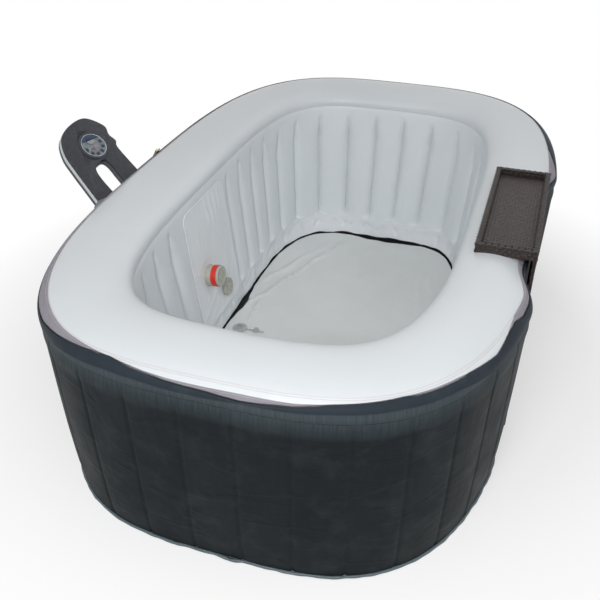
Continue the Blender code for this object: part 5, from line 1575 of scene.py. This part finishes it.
def build_arm():
    outline = arm_outline()
    place = arm_frame()
    edge = 0.0022
    bend = [(edge * (1 - math.sin(a)), -edge * (1 - math.cos(a))) for a in np.linspace(math.pi / 2, 0, 5)]
    rows = [level(drawn_in(outline, 0.0006), -arm_front_thickness),
            level(outline, -arm_front_thickness + 0.0006)]
    rows += [level(drawn_in(outline, inset), drop) for inset, drop in bend]
    front = loft("arm_front", rows, finish("dark_plastic"), closed=False)
    front.data.transform(place)
    opening = turned("opening", [(face_radius + 0.001, -0.02), (face_radius + 0.001, 0.02)],
                     panel_disc_frame(), None, 72, round_off=0)
    cut(front, [opening])
    dress(front, "tub", "dark_plastic", "arm_front_shell")
    high = -arm_front_thickness - gap
    low = high - arm_band_thickness
    inner = drawn_in(outline, 0.004)
    middle = (low + high) / 2
    rows = [level(drawn_in(outline, 0.0006), low), level(outline, low + 0.0006),
            level(drawn_in(outline, -0.0008), middle), level(outline, high - 0.0006),
            level(drawn_in(outline, 0.0006), high), level(inner, high), level(inner, low)]
    side = loft("arm_side", rows, finish("side_plastic"))
    side.data.transform(place)
    dress(side, "tub", "side_plastic", "arm_side_band")
    high = low - gap
    low = high - arm_rear_thickness + gap * 2
    rows = [level(drawn_in(outline, 0.0040), low)]
    rows += [level(drawn_in(outline, 0.004 * (1 - math.sin(a))), low + 0.004 * (1 - math.cos(a)))
             for a in np.linspace(0.3, math.pi / 2, 5)]
    rows += [level(outline, high - 0.0006), level(drawn_in(outline, 0.0006), high), level(inner, high),
             level(inner, low + 0.004)]
    rear = loft("arm_rear", rows, finish("dark_plastic"), closed=False)
    rear.data.transform(place)
    dress(rear, "tub", "dark_plastic", "arm_rear_shell")


def screen_outline(radius, count=25):
    angle = np.linspace(math.pi, 2 * math.pi, count)
    return np.stack([radius * np.cos(angle), window_up + radius * np.sin(angle)], 1)


def button_places():
    places = []
    for index in range(len(button_names)):
        angle = math.radians(button_first + button_step * index)
        places.append((button_ring * math.cos(angle), button_ring * math.sin(angle)))
    return places


def build_keypad():
    place = panel_disc_frame()
    profile = [(bezel_radius, gap), (bezel_radius - 0.0003, bezel_thickness * 0.25),
               (bezel_radius - 0.0022, bezel_thickness * 0.42), (bezel_lip + 0.0022, bezel_thickness * 0.42),
               (bezel_lip, gap)]
    bezel = turned("bezel", profile, place, finish("dark_plastic"), 96, True)
    dress(bezel, "tub", "dark_plastic", "panel_bezel")
    profile = [(bezel_lip - gap, gap), (bezel_lip - gap, bezel_thickness * 0.45),
               (bezel_lip - 0.0016, bezel_thickness * 0.35), (bezel_lip - 0.0018, gap)]
    ring = turned("disc_edge", profile, place, finish("side_plastic"), 96, True)
    dress(ring, "tub", "side_plastic")
    face = disc_face(place)
    dress(face, "tub", "face_plastic", "panel_face")
    outline = screen_outline(window_radius)
    rows = [level(outline, -face_thickness), level(outline, 0.0), level(drawn_in(outline, 0.0004), gap)]
    window = loft("window_lens", rows, finish("screen_glass"), closed=False)
    window.data.transform(place)
    dress(window, "tub", "screen_glass", "display_window")
    spot = place @ Matrix.Translation((light_across, light_up, 0))
    dome = [(light_radius, -face_thickness)]
    dome += [(light_radius * math.cos(a), light_radius * 0.5 * math.sin(a)) for a in np.linspace(0, 1.45, 8)]
    light = turned("light", dome, spot, finish("light_red"), 24, round_off=0)
    dress(light, "tub", "light_red", "indicator_light")
    for name, (x, y) in zip(button_names, button_places()):
        middle = place @ Matrix.Translation((x, y, 0))
        profile = [(0.0020, -0.0075), (0.0020, -0.0056), (0.0058, -0.0055), (0.0058, -0.0043),
                   (button_radius, -0.0043), (button_radius, button_proud * 0.5),
                   (button_radius * 0.93, button_proud * 0.85), (button_radius * 0.8, button_proud),
                   (button_radius * 0.55, button_proud * 0.8), (button_radius * 0.2, button_proud * 0.7)]
        cap = turned(name + "_cap", profile, middle, finish("button_plastic"), 32, round_off=0)
        dress(cap, name, "button_plastic", name)


def disc_face(place):
    """The control panel's face with its openings, and its own place on it as its UV map."""
    face = turned("control_face", [(face_radius, -face_thickness), (face_radius, 0.0)], Matrix.Identity(4),
                  finish("face_plastic"), 96, round_off=0)
    tools = [turned("hole", [(button_radius + 0.0004, -0.02), (button_radius + 0.0004, 0.02)],
                    Matrix.Translation((x, y, 0)), None, 32, round_off=0) for x, y in button_places()]
    screen = screen_outline(window_radius + 0.0004)
    screen[[0, -1], 1] += 0.0004
    tools.append(loft("opening", [level(screen, -0.02), level(screen, 0.02)], None, closed=False))
    tools.append(turned("hole", [(light_radius + 0.0004, -0.02), (light_radius + 0.0004, 0.02)],
                        Matrix.Translation((light_across, light_up, 0)), None, 24, round_off=0))
    cut(face, tools)
    mesh = face.data
    co = np.empty(len(mesh.vertices) * 3)
    mesh.vertices.foreach_get("co", co)
    co = co.reshape(-1, 3)
    loops = np.empty(len(mesh.loops), int)
    mesh.loops.foreach_get("vertex_index", loops)
    layer = mesh.uv_layers.get("sheet") or mesh.uv_layers.new(name="sheet")
    layer.data.foreach_set("uv", co[loops][:, :2].ravel())
    mesh.transform(place)
    return face


# Tray

def woven_face(name, tree, width, length, cell, fewest, seed, look):
    """A flat grid of strands that fills a width and a length."""
    columns, rows = max(fewest, round(width / cell)), max(fewest, round(length / cell))
    return tree.grow(name, bpy.data.meshes.new("empty"), {
        "Columns": columns, "Rows": rows, "Column Width": width / columns, "Row Width": length / rows,
        "Rise": sizes().strand_rise, "Seed": seed}, look)


def strand_panel(name, width, length, cell, thickness, place):
    """A woven panel: a closed core, with the strands of each face laid on it."""
    look = finish("wicker_strand")
    lift = sizes().strand_rise
    tree = weave_tree(look)
    parts = []
    for side in (1, -1):
        face = woven_face("face", tree, width, length, cell, 3, 4 + side, look)
        face.data.transform(Matrix.Translation((0, 0, thickness / 2 - lift * 0.35)))
        if side < 0:
            face.data.transform(Matrix.Rotation(math.pi, 4, "Y"))
        parts.append(face)
    low = thickness / 2 - lift * 0.55
    plan = rectangle(width / 2 - 0.0002, length / 2 - 0.0002)
    core = loft("core", [level(plan, -low), level(plan, low)], look, closed=False)
    parts.append(core)
    piece = joined(name, parts, look)
    piece.data.transform(place)
    return piece


def rectangle(half_x, half_y):
    return np.array([(half_x, half_y), (-half_x, half_y), (-half_x, -half_y), (half_x, -half_y)])


def joined(name, parts, look):
    """Several closed bodies in one piece."""
    shape = bmesh.new()
    for part in parts:
        shape.from_mesh(part.data)
        bpy.data.objects.remove(part)
    mesh = bpy.data.meshes.new(name)
    shape.to_mesh(mesh)
    shape.free()
    mesh.materials.clear()
    mesh.materials.append(look)
    mesh.shade_smooth()
    mesh.set_sharp_from_angle(angle=math.radians(40))
    return in_scene(name, mesh)


def build_tray():
    size = sizes()
    low, top = tray_deck_low, tray_deck_top
    middle_x, middle_y = (tray_inner_x + tray_outer_x) / 2, (tray_low_y + tray_high_y) / 2
    edge = tray_border_width + gap
    width, length = tray_outer_x - tray_inner_x - edge * 2, tray_high_y - tray_low_y - edge * 2
    deck = strand_panel("woven_deck", width, length, size.deck_cell, top - low,
                        Matrix.Translation((middle_x, middle_y, (low + top) / 2)))
    dress(deck, "tray", "wicker", "tray_deck")
    look = finish("wicker_strand")
    parts = []
    half_w, half_l = (tray_outer_x - tray_inner_x) / 2, (tray_high_y - tray_low_y) / 2
    height = tray_border_height
    inner_w, inner_l = half_w - tray_border_width, half_l - tray_border_width
    outer = rectangle(half_w - 0.0008, half_l - 0.0008)
    inner = rectangle(inner_w + 0.0008, inner_l + 0.0008)
    core = loft("core", [level(outer, 0.0006), level(outer, height - 0.0010), level(inner, height - 0.0010),
                         level(inner, 0.0006)], look)
    core.data.transform(Matrix.Translation((middle_x, middle_y, low)))
    parts.append(core)
    tree = weave_tree(look)

    def strip(run, span_of, place, seed):
        face = woven_face("strip", tree, run, span_of, size.deck_cell, 2, seed, look)
        face.data.transform(place)
        parts.append(face)

    drop = size.strand_rise * 0.35
    upper = height - (top - low)
    middle = np.array((middle_x, middle_y, 0.0))
    across, along, upward = np.eye(3)
    outside, inside, rail = low + height / 2, top + upper / 2, low + height - drop
    for sign in (1, -1):
        for run, span_of, shift, raised, axis, way, seed in (
                (half_w * 2, height, along * (half_l - drop), outside, along * sign, across, 11),
                (inner_w * 2, upper, along * (inner_l + drop), inside, along * -sign, across, 12),
                (half_l * 2, height, across * (half_w - drop), outside, across * sign, along, 13),
                (inner_l * 2, upper, across * (inner_w + drop), inside, across * -sign, along, 14),
                (half_w * 2, tray_border_width, along * (half_l + inner_l) / 2, rail, upward, across, 15),
                (half_l * 2, tray_border_width, across * (half_w + inner_w) / 2, rail, upward, along, 16)):
            strip(run, span_of, frame_at(middle + shift * sign + upward * raised, axis, way), seed)
    border = joined("woven_border", parts, look)
    dress(border, "tray", "wicker", "tray_border")
    leg_length = tray_high_y - tray_low_y - tray_leg_inset * 2
    leg_height = low - gap
    place = frame_at((tray_outer_x - tray_leg_thickness / 2, middle_y, leg_height / 2), (1, 0, 0), (0, 1, 0))
    leg = strand_panel("woven_leg", leg_length, leg_height, size.leg_cell, tray_leg_thickness, place)
    dress(leg, "tray", "wicker", "tray_leg")


# Operators

def look_for_nodes(pairs):
    """Gives solids of the frame that stay their finish."""
    for names, look in pairs:
        for name in names.split():
            mesh = frame["nodes"][name].data
            mesh.materials.clear()
            mesh.materials.append(finish(look))


class TUB_OT_stage(bpy.types.Operator):
    """Makes the pale ground, the lamps and the camera"""
    bl_idname = "tub.stage"
    bl_label = "Stage"

    def execute(self, context):
        build_stage()
        return {"FINISHED"}


class TUB_OT_shell(bpy.types.Operator):
    """Makes the rim, the ribbed wall, its skirt and the floor"""
    bl_idname = "tub.shell"
    bl_label = "Rim, walls and floor"

    def execute(self, context):
        build_rim()
        build_ribs()
        build_skirt()
        build_floor()
        return {"FINISHED"}


class TUB_OT_mat(bpy.types.Operator):
    """Makes the padded floor mat"""
    bl_idname = "tub.mat"
    bl_label = "Floor mat"

    def execute(self, context):
        build_mat()
        return {"FINISHED"}


class TUB_OT_jacket(bpy.types.Operator):
    """Makes the jacket, its band, zip and hem"""
    bl_idname = "tub.jacket"
    bl_label = "Jacket and zip"

    def execute(self, context):
        build_jacket()
        build_band()
        build_zip()
        build_piping()
        copy_of("slider", "zip_slider", "zip_slider", "zip_metal", "zip_metal")
        copy_of("puller", "zip_puller", "zip_puller", "zip_metal", "zip_metal")
        return {"FINISHED"}


class TUB_OT_panel(bpy.types.Operator):
    """Makes the flat panel with the filter and the outlet"""
    bl_idname = "tub.panel"
    bl_label = "Panel and fittings"

    def execute(self, context):
        build_panel()
        build_filter()
        build_outlet()
        return {"FINISHED"}


class TUB_OT_drain(bpy.types.Operator):
    """Makes the floor drain and its plug"""
    bl_idname = "tub.drain"
    bl_label = "Drain and plug"

    def execute(self, context):
        copy_of("drain", "drain_socket", "tub", "beige_plastic", "drain_plastic")
        copy_of("plug", "drain_plug", "drain_plug", "beige_plastic", "drain_plastic")
        return {"FINISHED"}


class TUB_OT_arm(bpy.types.Operator):
    """Makes the control arm and its keypad"""
    bl_idname = "tub.arm"
    bl_label = "Control arm"

    def execute(self, context):
        build_arm()
        build_keypad()
        return {"FINISHED"}


class TUB_OT_tray(bpy.types.Operator):
    """Makes the woven tray"""
    bl_idname = "tub.tray"
    bl_label = "Tray"

    def execute(self, context):
        build_tray()
        return {"FINISHED"}


class TUB_OT_machinery(bpy.types.Operator):
    """Gives the parts inside the wall their finishes"""
    bl_idname = "tub.machinery"
    bl_label = "Parts inside the wall"

    def execute(self, context):
        look_for_nodes((
            ("web_ring outer_wall unit_pocket", "wall_vinyl"),
            ("bubble_ring filter_gasket", "black_vinyl"),
            ("unit_base unit_inner_shell unit_outer_shell pump_housing blower_housing", "grey_plastic"),
            ("pump_impeller blower_fan cable_gland", "dark_plastic"),
            ("pump_motor", "motor_metal"), ("heater_tube", "heater_metal"),
            ("circuit_board keypad_board", "board_green"),
            ("suction_pipe pump_pipe return_pipe air_hose", "pipe_plastic"),
            ("filter_nut outlet_nut", "beige_plastic"), ("filter_cartridge", "white_paper"),
        ))
        return {"FINISHED"}


operators = (
    TUB_OT_stage, TUB_OT_shell, TUB_OT_mat, TUB_OT_jacket, TUB_OT_panel, TUB_OT_drain, TUB_OT_arm,
    TUB_OT_tray, TUB_OT_machinery,
)


class TUB_PT_sidebar(bpy.types.Panel):
    """Lists the steps that dress the tub"""
    bl_idname = "TUB_PT_sidebar"
    bl_label = "Hot Tub"
    bl_space_type = "VIEW_3D"
    bl_region_type = "UI"
    bl_category = "Hot Tub"

    def draw(self, context):
        for operator in operators:
            self.layout.operator(operator.bl_idname)
        for group in (context.scene.tub_sizes, context.scene.tub_colours):
            column = self.layout.column()
            for name in group.bl_rna.properties.keys():
                if name not in ("rna_type", "name"):
                    column.prop(group, name)


# Stage

# Lamps: name, place, target, size and power
lamps = (
    ("key", (0.3, -2.2, 1.9), (0, -0.2, 0.3), 0.9, 32),
    ("fill", (2.2, -0.4, 2.6), (0, 0, 0.3), 1.6, 9),
    ("back", (0.6, 2.6, 2.8), (0, 0, 0.4), 2.0, 6),
)
sky_strength = 0.42
ground_radius = 20.0
camera_place = (0.5473, -1.9956, 1.509)
camera_right = (0.95009, 0.31199, 0.0)
camera_ahead = (-0.25938, 0.78980, -0.55583)
camera_lens = 47.30


def area_lamp(name, place, target, size, power):
    data = bpy.data.lights.new(name, "AREA")
    data.shape = "DISK"
    data.size = size
    data.energy = power
    lamp = in_scene(name, data)
    lamp.location = place
    direction = Vector(target) - Vector(place)
    lamp.rotation_euler = direction.to_track_quat("-Z", "Y").to_euler()


def white_to_camera(tree, surface, white, end, share=1.0):
    """Shows plain white, by a share, where the camera, a gloss or a glass looks at the background."""
    path = node(tree, "ShaderNodeLightPath")
    seen = maths(tree, "MAXIMUM", path.outputs["Is Camera Ray"],
                 maths(tree, "MAXIMUM", path.outputs["Is Glossy Ray"], path.outputs["Is Transmission Ray"]))
    share = maths(tree, "MULTIPLY", seen, share)
    mixed = node(tree, "ShaderNodeMixShader", {0: share, 1: surface, 2: white})
    tree.links.new(mixed.outputs[0], end.inputs["Surface"])


def build_stage():
    scene = bpy.context.scene
    look = bpy.data.materials.new("ground")
    look.use_nodes = True
    shader = shader_of(look)
    shader.inputs["Base Color"].default_value = (*colours().floor, 1)
    shader.inputs["Roughness"].default_value = 0.95
    tree = look.node_tree
    place = node(tree, "ShaderNodeTexCoord").outputs["Object"]
    away = node(tree, "ShaderNodeVectorMath", {0: place}, operation="LENGTH").outputs["Value"]
    plain = node(tree, "ShaderNodeEmission", {"Color": (1, 1, 1, 1), "Strength": 1.0})
    white_to_camera(tree, shader.outputs[0], plain.outputs[0], tree.nodes["Material Output"],
                    span(tree, away, 0.80, 1.35, 0.5, 1.0))
    disc = [circle(ground_radius, height, 64) for height in (-0.02, -0.0002)]
    ground = loft("ground", disc, look, closed=False)
    world = bpy.data.worlds.new("sky")
    world.use_nodes = True
    tree = world.node_tree
    back, end = tree.nodes["Background"], tree.nodes["World Output"]
    back.inputs["Color"].default_value = (1, 1, 1, 1)
    back.inputs["Strength"].default_value = sky_strength
    white = node(tree, "ShaderNodeBackground", {"Color": (1, 1, 1, 1), "Strength": 1.0})
    white_to_camera(tree, back.outputs[0], white.outputs[0], end)
    scene.world = world
    for lamp in lamps:
        area_lamp(*lamp)
    scene.view_settings.view_transform = "Standard"
    data = bpy.data.cameras.new("camera")
    data.sensor_width = 36
    data.lens = camera_lens
    camera = in_scene("camera", data)
    right, ahead = Vector(camera_right).normalized(), Vector(camera_ahead).normalized()
    turn = Matrix((right, right.cross(ahead), -ahead)).transposed().to_4x4()
    camera.matrix_world = Matrix.Translation(camera_place) @ turn
    scene.camera = camera


groups = (TubSizes, TubColours)


def register():
    for made in (*groups, *operators, TUB_PT_sidebar):
        bpy.utils.register_class(made)
    bpy.types.Scene.tub_sizes = PointerProperty(type=TubSizes)
    bpy.types.Scene.tub_colours = PointerProperty(type=TubColours)


def unregister():
    del bpy.types.Scene.tub_colours
    del bpy.types.Scene.tub_sizes
    for made in reversed((*groups, *operators, TUB_PT_sidebar)):
        bpy.utils.unregister_class(made)


def main():
    register()
    for operator in operators:
        category, name = operator.bl_idname.split(".")
        getattr(getattr(bpy.ops, category), name)()


if __name__ == "__main__":
    main()
